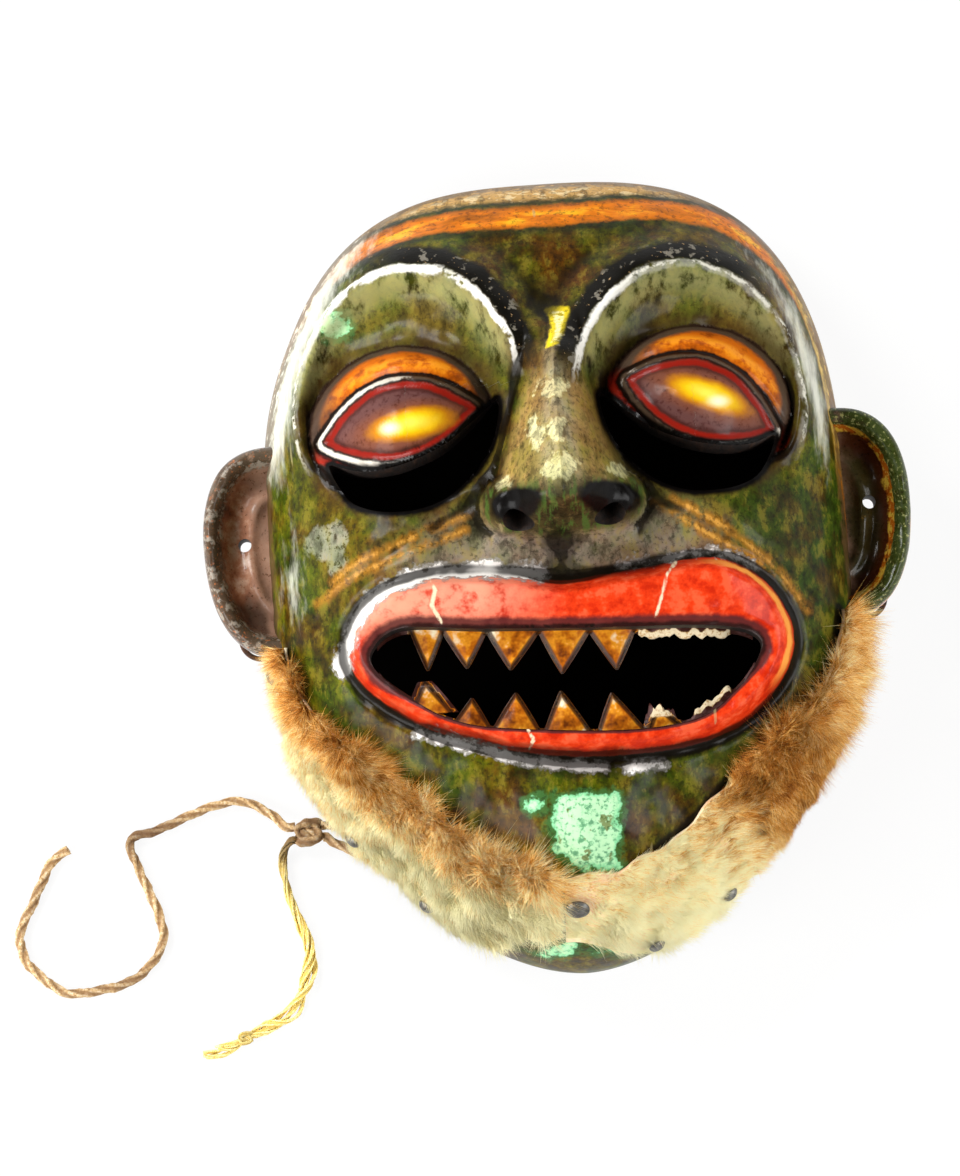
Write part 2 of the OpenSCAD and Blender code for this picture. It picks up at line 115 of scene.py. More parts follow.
def curve_through(points: Sequence, steps: int, closed: bool = False) -> Array:
    """Runs a smooth line through points.

    Args:
        points: The points in order.
        steps: Pieces between two points.
        closed: Whether the line returns.

    Returns:
        Rows of points.
    """
    p = np.asarray(points, dtype=float)
    count = len(p)
    spans = count if closed else count - 1
    index = np.arange(spans)
    if closed:
        a, b, c, d = (p[(index + k) % count] for k in (-1, 0, 1, 2))
    else:
        a, b, c, d = (p[np.clip(index + k, 0, count - 1)] for k in (-1, 0, 1, 2))
    rows = []
    for f in np.arange(steps) / steps:
        rows.append(0.5 * (2 * b + (c - a) * f + (2 * a - 5 * b + 4 * c - d) * f ** 2
                           + (3 * b - a - 3 * c + d) * f ** 3))
    line = np.stack(rows, axis=1).reshape(-1, p.shape[1])
    return line if closed else np.vstack([line, p[-1:]])


def blobs(x: Array, y: Array, *ovals: tuple[float, ...]) -> Array:
    """Measures about how far points lie from the nearest oval, given by its middle and half sizes."""
    return np.minimum.reduce([(oval(x - a, y - b, c, d) - 1) * min(c, d) for a, b, c, d in ovals])


def line_distance(x: Array, y: Array, line: Array, closed: bool = False) -> Array:
    """Measures how far points lie from a line in the plane.

    Args:
        x: First coordinates.
        y: Second coordinates.
        line: Rows of points.
        closed: Whether the line returns.

    Returns:
        Distances.
    """
    ends = np.roll(line, -1, axis=0) if closed else line[1:]
    starts = line if closed else line[:-1]
    best = np.full(x.shape, 1e9)
    for (ax, ay), (bx, by) in zip(starts, ends):
        dx, dy = bx - ax, by - ay
        s = np.clip(((x - ax) * dx + (y - ay) * dy) / (dx * dx + dy * dy + 1e-12), 0, 1)
        best = np.minimum(best, np.square(x - ax - s * dx) + np.square(y - ay - s * dy))
    return np.sqrt(best)


def outline_distance(x: Array, y: Array, loop: Array) -> Array:
    """Measures the distance from a closed outline, negative inside it.

    Args:
        x: First coordinates.
        y: Second coordinates.
        loop: Rows of points round the outline.

    Returns:
        Signed distances.
    """
    inside = np.zeros(x.shape, dtype=bool)
    for (ax, ay), (bx, by) in zip(loop, np.roll(loop, -1, axis=0)):
        if ay != by:
            inside ^= ((ay > y) != (by > y)) & (x < (bx - ax) * (y - ay) / (by - ay) + ax)
    away = line_distance(x, y, loop, closed=True)
    return np.where(inside, -away, away)


def linear(code: str) -> tuple[float, float, float, float]:
    """Turns an sRGB hex colour into linear RGBA.

    Args:
        code: A hash and six digits.

    Returns:
        The four numbers.
    """
    parts = [int(code[i:i + 2], 16) / 255 for i in (1, 3, 5)]
    red, green, blue = (c / 12.92 if c <= 0.04045 else ((c + 0.055) / 1.055) ** 2.4 for c in parts)
    return red, green, blue, 1


def add(tree: bpy.types.NodeTree, kind: str, ins: dict | None = None, **settings) -> bpy.types.Node:
    """Adds one node with its settings and links.

    Args:
        tree: Gets the node.
        kind: The node's type.
        ins: A value, a socket or a node for inputs by name or number.
        **settings: The node's properties.

    Returns:
        The new node.
    """
    node = tree.nodes.new(kind)
    for name, value in settings.items():
        setattr(node, name, value)
    for key, value in (ins or {}).items():
        if isinstance(value, bpy.types.Node):
            value = value.outputs[0]
        if isinstance(value, Socket):
            tree.links.new(value, node.inputs[key])
        else:
            node.inputs[key].default_value = value
    return node


def mesh_object(name: str, points: Array, faces: Sequence) -> Object:
    """Makes a smooth-shaded mesh object.

    Args:
        name: Its name.
        points: Rows of corners.
        faces: Corner numbers of each face.

    Returns:
        The object, in the scene.
    """
    mesh = bpy.data.meshes.new(name)
    mesh.from_pydata((np.asarray(points) * MM).tolist(), [], [list(map(int, f)) for f in faces])
    mesh.polygons.foreach_set("use_smooth", np.ones(len(mesh.polygons), dtype=bool))
    mesh.update()
    piece = bpy.data.objects.new(name, mesh)
    bpy.context.scene.collection.objects.link(piece)
    return piece


def set_fields(piece: Object, **fields: Array) -> None:
    """Stores numbers for each corner of a mesh, for its material to read.

    Args:
        piece: Gets the numbers.
        **fields: One value a corner under each field's name.
    """
    for name, values in fields.items():
        layer = piece.data.attributes.new(name, "FLOAT", "POINT")
        layer.data.foreach_set("value", np.ascontiguousarray(values, dtype=np.float32).ravel())


def corners(piece: Object) -> Array:
    """Gives a mesh's corners as rows in millimetres.

    Args:
        piece: A mesh object.

    Returns:
        One row a corner.
    """
    flat = np.empty(len(piece.data.vertices) * 3)
    piece.data.vertices.foreach_get("co", flat)
    return flat.reshape(-1, 3) / MM


def grid_faces(rows: int, columns: int, closed: bool, start: int = 0) -> Array:
    """Numbers the squares of a grid of points.

    Args:
        rows: Count of rows.
        columns: Points in each row.
        closed: Whether each row returns.
        start: Number of the first point.

    Returns:
        Four numbers a square.
    """
    last = columns if closed else columns - 1
    i, k = np.meshgrid(np.arange(rows - 1), np.arange(last), indexing="ij")
    after = (k + 1) % columns
    quads = np.stack(
        [i * columns + k, i * columns + after, (i + 1) * columns + after, (i + 1) * columns + k], axis=-1)
    return quads.reshape(-1, 4) + start


def bake_modifiers(piece: Object) -> None:
    """Turns what a piece's modifiers give into its plain mesh.

    Args:
        piece: Loses its modifiers.
    """
    bpy.context.view_layer.update()
    graph = bpy.context.evaluated_depsgraph_get()
    result = bpy.data.meshes.new_from_object(piece.evaluated_get(graph))
    result.name = piece.data.name
    piece.modifiers.clear()
    piece.data = result


def hand_over(piece: Object, slot: str, *nodes: str) -> None:
    """Lets a piece ride on the mask and stand for nodes.

    Args:
        piece: A finished mesh.
        slot: Not used.
        *nodes: Solids that it stands for.
    """
    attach(piece, BODY)
    if nodes:
        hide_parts(*nodes)
    LOG.info("%s: %d faces", piece.name, len(piece.data.polygons))


class Coats:
    """Lays coats of colour over each other in the node tree of one material.

    A value may be given as a socket or as the name of a field that the mesh stores.
    """

    def __init__(self, material: bpy.types.Material) -> None:
        """Clears the material's tree and starts from the object's own coordinates.

        Args:
            material: Gets the coats.
        """
        material.use_nodes = True
        self.tree = material.node_tree
        self.tree.nodes.clear()
        self.place = add(self.tree, "ShaderNodeTexCoord").outputs["Object"]
        self.color: Socket | None = None

    def field(self, value: Value) -> Socket:
        """Reads the field of a name, and leaves a socket as it is.

        Args:
            value: A socket or a name.

        Returns:
            A socket.
        """
        if isinstance(value, str):
            return add(self.tree, "ShaderNodeAttribute", attribute_name=value).outputs["Fac"]
        return value

    def mottle(self, size: float, seed: float, stretch: Place = (1, 1, 1), detail: float = 4) -> Socket:
        """Makes cloudy unevenness.

        Args:
            size: Width of a cloud in millimetres.
            seed: Moves the pattern.
            stretch: How much finer it is along each axis.
            detail: Count of finer layers.

        Returns:
            A value round 0.5.
        """
        shift = (seed * 0.37, seed * 0.61, seed * 0.23)
        spot = add(self.tree, "ShaderNodeMapping", {0: self.place, 1: shift, 3: stretch})
        return add(self.tree, "ShaderNodeTexNoise",
                   {"Vector": spot, "Scale": 1 / (size * MM), "Detail": detail, "Roughness": 0.66}).outputs[0]

    def ragged(self, value: Value, noise: Value, amount: float) -> Socket:
        """Shifts a value by noise, so that an edge drawn from it is uneven.

        Args:
            value: What is shifted.
            noise: A value round 0.5.
            amount: The largest shift.

        Returns:
            The uneven value.
        """
        centred = add(self.tree, "ShaderNodeMath", {0: self.field(noise), 1: 0.5}, operation="SUBTRACT")
        return add(self.tree, "ShaderNodeMath", {0: centred, 1: 2 * amount, 2: self.field(value)},
                   operation="MULTIPLY_ADD").outputs[0]

    def eased(self, value: Value, limit: float, blur: float, start: float, end: float) -> Socket:
        """Goes from start to end while a value passes a limit, within the blur on both sides of it."""
        ins = {0: self.field(value), 1: limit - blur, 2: limit + blur, 3: start, 4: end}
        return add(self.tree, "ShaderNodeMapRange", ins, interpolation_type="SMOOTHSTEP").outputs[0]

    def over(self, value: Value, low: float, blur: float, strength: float = 1.0) -> Socket:
        """Picks where a value lies above a limit."""
        return self.eased(value, low, blur, 0, strength)

    def under(self, value: Value, high: float, blur: float, strength: float = 1.0) -> Socket:
        """Picks where a value lies below a limit."""
        return self.eased(value, high, blur, strength, 0)

    def span(self, value: Socket, low: float, high: float, blur: float, strength: float = 1.0) -> Socket:
        """Picks where a value lies between two limits."""
        return self.both(self.over(value, low, blur, strength), self.under(value, high, blur))

    def both(self, *factors: Value) -> Socket:
        """Picks where all factors hold together.

        Args:
            *factors: Sockets, or names of fields.

        Returns:
            Their product.
        """
        *others, result = map(self.field, factors)
        for factor in reversed(others):
            result = add(self.tree, "ShaderNodeMath", {0: factor, 1: result}, operation="MULTIPLY").outputs[0]
        return result

    def coat(self, paint: str, *factors: Value) -> None:
        """Covers the colour so far with a paint where all factors hold."""
        ins = {0: self.both(*factors), 6: self.color, 7: linear(paint)}
        self.color = add(self.tree, "ShaderNodeMix", ins, data_type="RGBA").outputs[2]

    def ground(self, noise: Socket, stops: Sequence[tuple[float, str]]) -> None:
        """Starts from colours that follow a noise.

        Args:
            noise: A value from 0 to 1.
            stops: Places along it with their colours.
        """
        ramp = add(self.tree, "ShaderNodeValToRGB", {0: noise})
        while len(ramp.color_ramp.elements) < len(stops):
            ramp.color_ramp.elements.new(0.5)
        for element, (place, paint) in zip(ramp.color_ramp.elements, stops):
            element.position = place
            element.color = linear(paint)
        self.color = ramp.outputs[0]

    def finish(self, roughness: Socket | float, bump: Socket | bpy.types.Node | None, depth: float,
               **constants: float) -> None:
        """Ends the tree in a shader.

        Args:
            roughness: A socket or a number.
            bump: Height pattern, if any.
            depth: Its height in millimetres.
            **constants: Numbers for the shader's sockets, with underscores for spaces.
        """
        ins: dict = {"Base Color": self.color, "Roughness": roughness}
        ins.update({name.replace("_", " "): value for name, value in constants.items()})
        if bump is not None:
            ins["Normal"] = add(
                self.tree, "ShaderNodeBump", {"Height": bump, "Strength": 1, "Distance": depth * MM})
        add(self.tree, "ShaderNodeOutputMaterial", {0: add(self.tree, "ShaderNodeBsdfPrincipled", ins)})


@dataclass(frozen=True)
class Finish:
    """A named real material."""

    name: str

    def material(self) -> bpy.types.Material:
        """Makes the material once and then gives the same one.

        Returns:
            The material.
        """
        known = bpy.data.materials.get(self.name)
        if known is not None:
            return known
        material = bpy.data.materials.new(self.name)
        self.lay(Coats(material))
        return material

    def cover(self, piece: Object) -> None:
        """Gives a piece the material as its next slot."""
        piece.data.materials.append(self.material())

    def lay(self, coats: Coats) -> None:
        """Builds the material's coats."""
        raise NotImplementedError


@dataclass(frozen=True)
class PaintedWood(Finish):
    """Oil paint in thin coats on carved softwood under old varnish.

    It gives the eye an olive ground that turns brown and green in clouds and brush streaks, hand-drawn bands
    with uneven edges, pale gesso where the paint has chipped, painted highlights on the temples, lips, eyes
    and brows, painted shade in the hollows, and a wet gloss broken by rubbed spots.
    """

    name: str = "painted_softwood"

    def lay(self, coats: Coats) -> None:
        """Builds the coats in the order in which a painter lays them.

        Args:
            coats: The material's coats.
        """
        coat, over, under, mottle = coats.coat, coats.over, coats.under, coats.mottle
        wide = mottle(30, 1, detail=3)
        cloud = mottle(11, 2)
        blot = mottle(5, 3, detail=3)
        fine = mottle(1.6, 4, detail=3)
        drag = mottle(12, 5, stretch=(5, 1, 1))
        coats.ground(
            cloud,
            ((0.3, "#141604"), (0.42, "#303402"), (0.52, "#4e5002"), (0.62, "#6c650a"), (0.76, "#664208")))
        coat("#542f06", over(wide, 0.53, 0.06, 0.55))
        coat("#161a04", under(drag, 0.42, 0.08, 0.35))
        self.lay_flesh(coats, wide, blot, fine, drag)
        coat("#5a360a", "glow", over(drag, 0.38, 0.14, 0.85))
        tint = mottle(17, 16, detail=6)
        coat("#3c5a0a", over(tint, 0.53, 0.08, 0.4))
        coat("#5c3206", under(tint, 0.45, 0.08, 0.45))
        ink = mottle(8, 17, stretch=(1.8, 1, 1), detail=6)
        coat("#0f0c03", under(ink, 0.45, 0.08, 0.6))
        coat("#94842a", over(ink, 0.57, 0.06, 0.35))
        self.lay_forehead(coats, blot, fine, drag)
        coat("#0a0804", under(fine, 0.42, 0.07, 0.5))
        # Painted light: pale olive on the upper walls of the eye sockets, under the brow crests.
        coat("#b8b478", "lit", over(ink, 0.44, 0.1, 0.55))
        self.lay_eyes(coats, blot, fine)
        self.lay_brows(coats, cloud, blot, fine)
        self.lay_lips(coats, blot, fine)
        self.lay_wear_and_shade(coats, blot, drag)
        gloss = over(cloud, 0.5, 0.18, 0.2)
        dull = add(coats.tree, "ShaderNodeMath", {0: gloss, 1: 0.34}, operation="ADD")
        rough = coats.ragged(dull.outputs[0], fine, 0.08)
        relief = add(coats.tree, "ShaderNodeMath", {0: blot, 1: 1.4, 2: fine}, operation="MULTIPLY_ADD")
        coats.finish(rough, relief, 0.09, Specular_IOR_Level=0.05, Coat_Weight=0.12, Coat_Roughness=0.2)

    def lay_flesh(self, coats: Coats, wide: Socket, blot: Socket, fine: Socket, drag: Socket) -> None:
        """Lays the sockets, cheeks and nose.

        Args:
            coats: The material's coats.
            wide: Clouds of 30 mm.
            blot: Blots of 5 mm.
            fine: Specks of 1.6 mm.
            drag: Brush streaks.
        """
        coat = coats.coat
        # Dark green on the right cheek and jaw is painted shade on the side away from the lamps.
        # Painted shade in near-black runs along the foot of the nose.
        # The nose coats are laid weaker on the nose's right side, so its left side carries painted light.
        for place, noise, low, blur, share, paint in (
                ("socket", blot, 0.28, 0.18, 0.82, "#6c6626"), ("brown", drag, 0.34, 0.14, 0.8, "#64380e"),
                ("cheek", drag, 0.36, 0.16, 0.8, "#5c5806"), ("cheek", wide, 0.5, 0.06, 0.5, "#6a4208"),
                ("far", wide, 0.3, 0.14, 0.75, "#223410"), ("muzzle", drag, 0.34, 0.16, 0.78, "#948474"),
                ("muzzle", wide, 0.46, 0.1, 0.5, "#b6a69a"), ("nose", blot, 0.26, 0.2, 0.88, "#a4844a"),
                ("nose", drag, 0.46, 0.12, 0.6, "#b4925a"), ("flank", blot, 0.26, 0.2, 0.75, "#241c06"),
                ("spine", drag, 0.34, 0.14, 0.65, "#a8a486")):
            coat(paint, place, coats.over(noise, low, blur, share))
        bare = coats.ragged(coats.ragged("bare", blot, 3.4), drag, 1.8)
        coat("#a8905a", coats.under(bare, 0.5, 0.7, 0.6))
        coat("#f4eab0", coats.under(bare, -0.4, 0.5, 0.95))
        grey = coats.ragged("grey", blot, 3.4)
        coat("#a4a28e", coats.under(grey, 0, 0.9, 0.75), coats.over(fine, 0.4, 0.1))

    def lay_forehead(self, coats: Coats, blot: Socket, fine: Socket, drag: Socket) -> None:
        """Lays the forehead arch, the worn crown, the mint patches and the strokes past the mouth.

        Args:
            coats: The material's coats.
            blot: Blots of 5 mm.
            fine: Specks of 1.6 mm.
            drag: Brush streaks.
        """
        coat, span, over, under, ragged = coats.coat, coats.span, coats.over, coats.under, coats.ragged
        band = ragged("band", blot, 1.3)
        coat("#1b1f0a", span(band, -6.5, -3.8, 1, 0.6))
        coat("#9c5405", span(band, -4, 4.2, 0.8, 0.95))
        streak = coats.mottle(9, 15, stretch=(0.35, 1, 1))
        coat("#de7602", span(band, -3.4, 3, 1), over(streak, 0.42, 0.1, 0.9))
        coat("#f6b81c", span(band, -2.2, 1.4, 1), over(streak, 0.55, 0.07, 0.9))
        coat("#23280d", span(band, 4.4, 6.6, 0.8, 0.75))
        crown = coats.both("high", span(band, 6.6, 60, 1.4))
        coat("#8a6424", crown, over(streak, 0.3, 0.12, 0.85))
        coat("#d2a45a", crown, over(drag, 0.42, 0.1, 0.8))
        coat("#ecd6a4", crown, over(blot, 0.56, 0.05, 0.7))
        mark = ragged("mark", blot, 1.2)
        coat("#ecd21e", under(mark, 0.2, 0.5, 0.95))
        coat("#faf2b4", under(mark, -1.2, 0.4), over(fine, 0.46, 0.1, 0.9))
        mint = ragged(ragged("mint", blot, 4.2), drag, 0.8)
        coat("#3c6a34", under(mint, 1.6, 0.9, 0.8))
        coat("#86d49a", under(mint, 0, 0.4))
        coat("#d6f2c6", under(mint, -0.9, 0.8), over(fine, 0.44, 0.12, 0.6))
        coat("#6a7236", under(mint, -0.6, 0.6), over(blot, 0.6, 0.03, 0.85))
        stroke = ragged("stroke", drag, 1.8)
        broken = over(blot, 0.4, 0.12, 0.75)
        coat("#a06a1c", under(stroke, 1.4, 1.1), broken)
        coat("#d39a44", under(stroke, 0.2, 0.5), broken)

    def lay_eyes(self, coats: Coats, blot: Socket, fine: Socket) -> None:
        """Lays the lids with painted highlights, the drawn outlines, the yellow eyes and a painted glint on
        each.

        Args:
            coats: The material's coats.
            blot: Blots of 5 mm.
            fine: Specks of 1.6 mm.
        """
        coat, span, over, under, ragged = coats.coat, coats.span, coats.over, coats.under, coats.ragged
        dome = ragged("dome", blot, 1.2)
        lid = ragged("almond", blot, 0.8)
        coat("#4c3418", span(dome, 0.2, 4, 3, 0.7))
        coat("#4e3c32", under(dome, 0.6, 0.8, 0.92))
        coat("#24120c", span(dome, -0.7, 0.7, 0.5, 0.8))
        orange = coats.both("upper", under(dome, -3, 0.9), over(lid, 4, 0.6))
        coat("#8a3c06", orange)
        coat("#cc6408", orange, over(blot, 0.38, 0.12, 0.95))
        # Painted highlight: lighter orange along the middle of each upper lid, broken by blots.
        coat("#f0981c", orange, span(lid, 5.4, 9, 1.2), over(blot, 0.5, 0.1, 0.85))
        coat("#140b06", span(lid, 2.7, 4.4, 0.4))
        shine = over(ragged("shine", blot, 0.6), 0.5, 0.12)
        coat("#d8d0c2", span(lid, 1.3, 2.9, 0.35), shine)
        coat("#1e0e08", span(lid, 0.7, 1.6, 0.3, 0.9))
        coat("#8c170a", span(lid, -1.3, 0.8, 0.5, 0.95))
        coat("#45201c", under(lid, -1, 0.6))
        coat("#66423e", under(lid, -2, 0.8), over(fine, 0.4, 0.14, 0.85))
        coat("#951c0a", "lower", span(lid, 4, 6.4, 0.5, 0.95))
        coat("#140805", "lower", span(lid, 6.4, 9, 0.5, 0.9))
        iris = ragged("iris", blot, 0.7)
        halo = coats.both(under(lid, -1.4, 0.7), under(iris, 2.4, 2.2, 0.5))
        coat("#96501e", halo, over(fine, 0.3, 0.16))
        coat("#c27a0c", under(iris, 0.9, 0.9))
        coat("#f2c210", under(iris, -0.4, 1))
        coat("#fdea5c", under(iris, -2.2, 1.4, 0.8))
        # Painted highlight: a near-white glint on each iris.
        coat("#fffbe2", "spark")

    def lay_brows(self, coats: Coats, cloud: Socket, blot: Socket, fine: Socket) -> None:
        """Lays the black brows and the white line along their ridges, chipped gesso and painted highlight in
        one.

        Args:
            coats: The material's coats.
            cloud: Clouds of 11 mm.
            blot: Blots of 5 mm.
            fine: Specks of 1.6 mm.
        """
        coat, both, over = coats.coat, coats.both, coats.over
        reach = coats.field("reach")
        thick_gesso_and_highlight = both(reach, "chalk")
        brow = coats.ragged(coats.ragged("brow", blot, 1.2), cloud, 1.6)
        black = both(reach, coats.span(brow, 0.2, 6.4, 1.2), "inked")
        coat("#0e0c07", black)
        coat("#7f796c", black, over(blot, 0.62, 0.03, 0.85))
        coat("#c8a474", black, over(fine, 0.68, 0.02, 0.75))
        # The white line on each brow ridge is chipped gesso and painted highlight together.
        thin = both(reach, coats.span(brow, -0.7, 0.3, 0.35))
        coat("#dad6c4", thin, over(blot, 0.48, 0.05, 0.9))
        thick = both(thick_gesso_and_highlight, coats.span(brow, -1.7, 0.4, 0.5))
        coat("#f4f1e8", thick, over(cloud, 0.43, 0.05, 0.95))

    def lay_lips(self, coats: Coats, blot: Socket, fine: Socket) -> None:
        """Lays the red lips and outline, a painted highlight, and the white edge, chipped gesso and
        highlight.

        Args:
            coats: The material's coats.
            blot: Blots of 5 mm.
            fine: Specks of 1.6 mm.
        """
        coat, under, ragged = coats.coat, coats.under, coats.ragged
        lip = ragged("lip", blot, 0.9)
        mouth = ragged("mouth", blot, 0.9)
        coat("#15100a", coats.span(lip, -0.2, 2.2, 0.6, 0.95))
        red = under(lip, 0, 0.4)
        coat("#bc2408", red)
        coat("#e03c14", red, coats.over(blot, 0.44, 0.1, 0.9))
        coat("#f47048", red, coats.over(blot, 0.57, 0.07, 0.45))
        # Painted highlight: pale pink on the upper left lip.
        coat("#f4a486", red, "blush", coats.over(blot, 0.4, 0.14, 0.75))
        coat("#8a1c08", red, coats.span(lip, -1.2, 0, 0.6, 0.6))
        coat("#4a2222", red, under(mouth, 3, 0.8, 0.92))
        coat("#1f0f0c", red, under(mouth, 1.1, 0.5, 0.9))
        # Chipped white gesso round the lips, on the upper left lip partly a painted highlight.
        gesso = ragged(ragged("gesso", blot, 3.4), fine, 1.5)
        coat("#94918a", under(gesso, 0.5, 0.5, 0.85))
        coat("#f6f2ec", under(gesso, -0.4, 0.4))
        edge = coats.both("right_edge", coats.span(lip, -2.2, -0.6, 0.5, 0.9))
        coat("#f2a348", edge)
        crack = ragged("crack", blot, 0.9)
        coat("#ecd8b4", under(crack, 0.4, 0.25, 0.95))

    def lay_wear_and_shade(self, coats: Coats, blot: Socket, drag: Socket) -> None:
        """Darkens the hollows with painted shade, lays painted highlights, rubs the edges and draws
        scratches.

        Args:
            coats: The material's coats.
            blot: Blots of 5 mm.
            drag: Brush streaks.
        """
        coat, over, ragged = coats.coat, coats.over, coats.ragged
        # Painted shade: near-black in the wide and the narrow hollows of the carving.
        coat("#171009", over(ragged("grime", blot, 0.3), 0.75, 0.45, 0.6))
        coat("#0c0804", over(ragged("hollow", blot, 0.2), 0.85, 0.35, 0.75))
        tip = coats.field("tip")
        coat("#15170a", tip, over(blot, 0.34, 0.16, 0.85))
        coat("#4a6a2a", tip, over(drag, 0.54, 0.05, 0.6))
        # Near-black round the sight slits, and painted shade that widens the dark of each nostril past its
        # hole.
        coat("#060403", coats.under(ragged("dark", blot, 0.8), 1.6, 0.8))
        # Painted shadow: a near-black line on the face along the right hide's inner edge.
        coat("#080503", coats.under(ragged("seam", blot, 0.8), 1.6, 0.7, 0.92))
        gilt = ragged("gilt", blot, 0.4)
        coat("#a97a1c", over(gilt, 0.5, 0.25, 0.8))
        coat("#e0c26a", over(gilt, 0.6, 0.2), over(drag, 0.5, 0.06, 0.7))
        # Painted highlights and reflections in near-white on the temples and the left side, partly pale wear.
        pale = ragged("pale", drag, 0.5)
        coat("#e9e9d8", over(pale, 0.5, 0.3, 0.72))
        rim = ragged("rim", blot, 0.03)
        coat("#5a4428", over(rim, 0.955, 0.01), over(blot, 0.4, 0.06, 0.8))
        scratch = coats.mottle(7, 9, stretch=(1, 0.05, 0.3), detail=2)
        coat("#b4a674", over(scratch, 0.71, 0.01, 0.4))


@dataclass(frozen=True)
class EarPaint(Finish):
    """The face's paint on the cupped ears, more worn, with rubbed rims.

    It gives the eye a brown left ear with a grey rubbed rim, a black-green right ear with an orange and
    yellow edge, and gloss in spots.
    """

    name: str = "painted_ear_wood"

    def lay(self, coats: Coats) -> None:
        """Builds the ground, the bowl's dark, the strokes on the rim and the wear.

        Args:
            coats: The material's coats.
        """
        coat, over, ragged = coats.coat, coats.over, coats.ragged
        cloud = coats.mottle(8, 6)
        blot = coats.mottle(3.6, 7)
        fine = coats.mottle(1.2, 8)
        coats.ground(cloud, ((0.3, "#341b10"), (0.42, "#804a32"), (0.54, "#a26e52"), (0.66, "#be9c84")))
        edge = ragged("edge", blot, 0.1)
        rise = ragged("rise", blot, 1.6)
        root = ragged("root", cloud, 0.25)
        low = ragged("low", cloud, 0.4)
        side = coats.field("side")
        inner = coats.span(rise, -1, 14, 1.2)
        coat("#9a7a66", coats.under(root, 0.42, 0.2, 0.85), over(fine, 0.34, 0.14))
        coat("#120b07", inner, over(low, 0.5, 0.2, 0.7))
        brim = over(rise, 13.5, 1.4)
        coat("#3e3a2e", brim, over(blot, 0.3, 0.12, 0.85))
        coat("#a2988a", brim, over(blot, 0.55, 0.05, 0.8))
        coat("#b0683c", brim, over(fine, 0.62, 0.03, 0.8))
        green = coats.both(side, over(root, 0.18, 0.16))
        coat("#2a2c0a", green, over(fine, 0.2, 0.12, 0.92))
        coat("#4e1c0c", green, inner, over(edge, 0.58, 0.1, 0.8))
        coat("#39451a", side, brim, over(blot, 0.42, 0.1, 0.85))
        coat("#a8a86a", side, brim, over(fine, 0.6, 0.05, 0.7))
        line = coats.both(side, coats.span(rise, 11.5, 14.6, 0.5), over(cloud, 0.42, 0.05))
        coat("#b4601a", line)
        coat("#dcbc40", line, over(blot, 0.52, 0.05, 0.9))
        coat("#54412a", coats.under(rise, 6, 2), over(cloud, 0.4, 0.15, 0.8))
        coat("#120b06", coats.under(fine, 0.37, 0.04, 0.6))
        rough = over(blot, 0.5, 0.25, 0.55)
        coats.finish(ragged(rough, fine, 0.08), blot, 0.3, Specular_IOR_Level=0.1, Coat_Weight=0.2,
                     Coat_Roughness=0.15)


@dataclass(frozen=True)
class CarvedRawWood(Finish):
    """Bare softwood inside the hollow, gouged and stained by handling.

    It gives the eye brown grain that runs along the face, darker gouge troughs and no gloss.
    """

    name: str = "gouged_softwood"

    def lay(self, coats: Coats) -> None:
        """Builds grain, stain and gouge marks.

        Args:
            coats: The material's coats.
        """
        grain = coats.mottle(3, 11, stretch=(1, 0.12, 1))
        stain = coats.mottle(30, 12)
        gouge = coats.mottle(7, 13, stretch=(1, 0.35, 1), detail=1)
        coats.ground(grain, ((0.3, "#3a2513"), (0.5, "#5c3f22"), (0.72, "#7b5a34")))
        coats.coat("#2a1a0e", coats.over(stain, 0.52, 0.1, 0.65))
        coats.coat("#2c1c10", coats.under(gouge, 0.4, 0.06, 0.5))
        height = add(coats.tree, "ShaderNodeMath", {0: gouge, 1: 2.5, 2: grain}, operation="MULTIPLY_ADD")
        coats.finish(0.72, height, 0.6)


@dataclass(frozen=True)
class PlainFinish(Finish):
    """A material with one pattern, which gives its colours and its relief."""

    size: float
    seed: float
    stretch: Place
    stops: tuple[tuple[float, str], ...]
    roughness: float
    depth: float
    metallic: float = 0.0

    def lay(self, coats: Coats) -> None:
        """Builds the pattern.

        Args:
            coats: The material's coats.
        """
        grain = coats.mottle(self.size, self.seed, self.stretch)
        coats.ground(grain, self.stops)
        coats.finish(self.roughness, grain, self.depth, Metallic=self.metallic)


# Knife-cut edges of the openings under a thin dark wash: near-black brown, faint grain, no varnish.
CUT_WOOD = PlainFinish("washed_cut_wood", 2.0, 21.0, (1.0, 1.0, 0.2),
                       ((0.35, "#0d0805"), (0.55, "#20130b"), (0.75, "#3a2414")), 0.6, 0.3)
# Iron wire with a tight brown rust skin: dark brown, almost no shine, orange freckles.
RUSTY_IRON = PlainFinish("rusted_iron_wire", 1.2, 81.0, (1.0, 1.0, 1.0),
                         ((0.32, "#23160d"), (0.54, "#4a2c18"), (0.74, "#84512a")), 0.75, 0.12, 0.35)
# Whittled hardwood dowels: tan wood with fine grain along the dowel, smoother than the block.
PEG_WOOD = PlainFinish("whittled_dowel_wood", 1.5, 91.0, (0.1, 1.0, 1.0),
                       ((0.32, "#5c4020"), (0.52, "#8a6436"), (0.72, "#b08a54")), 0.55, 0.12)


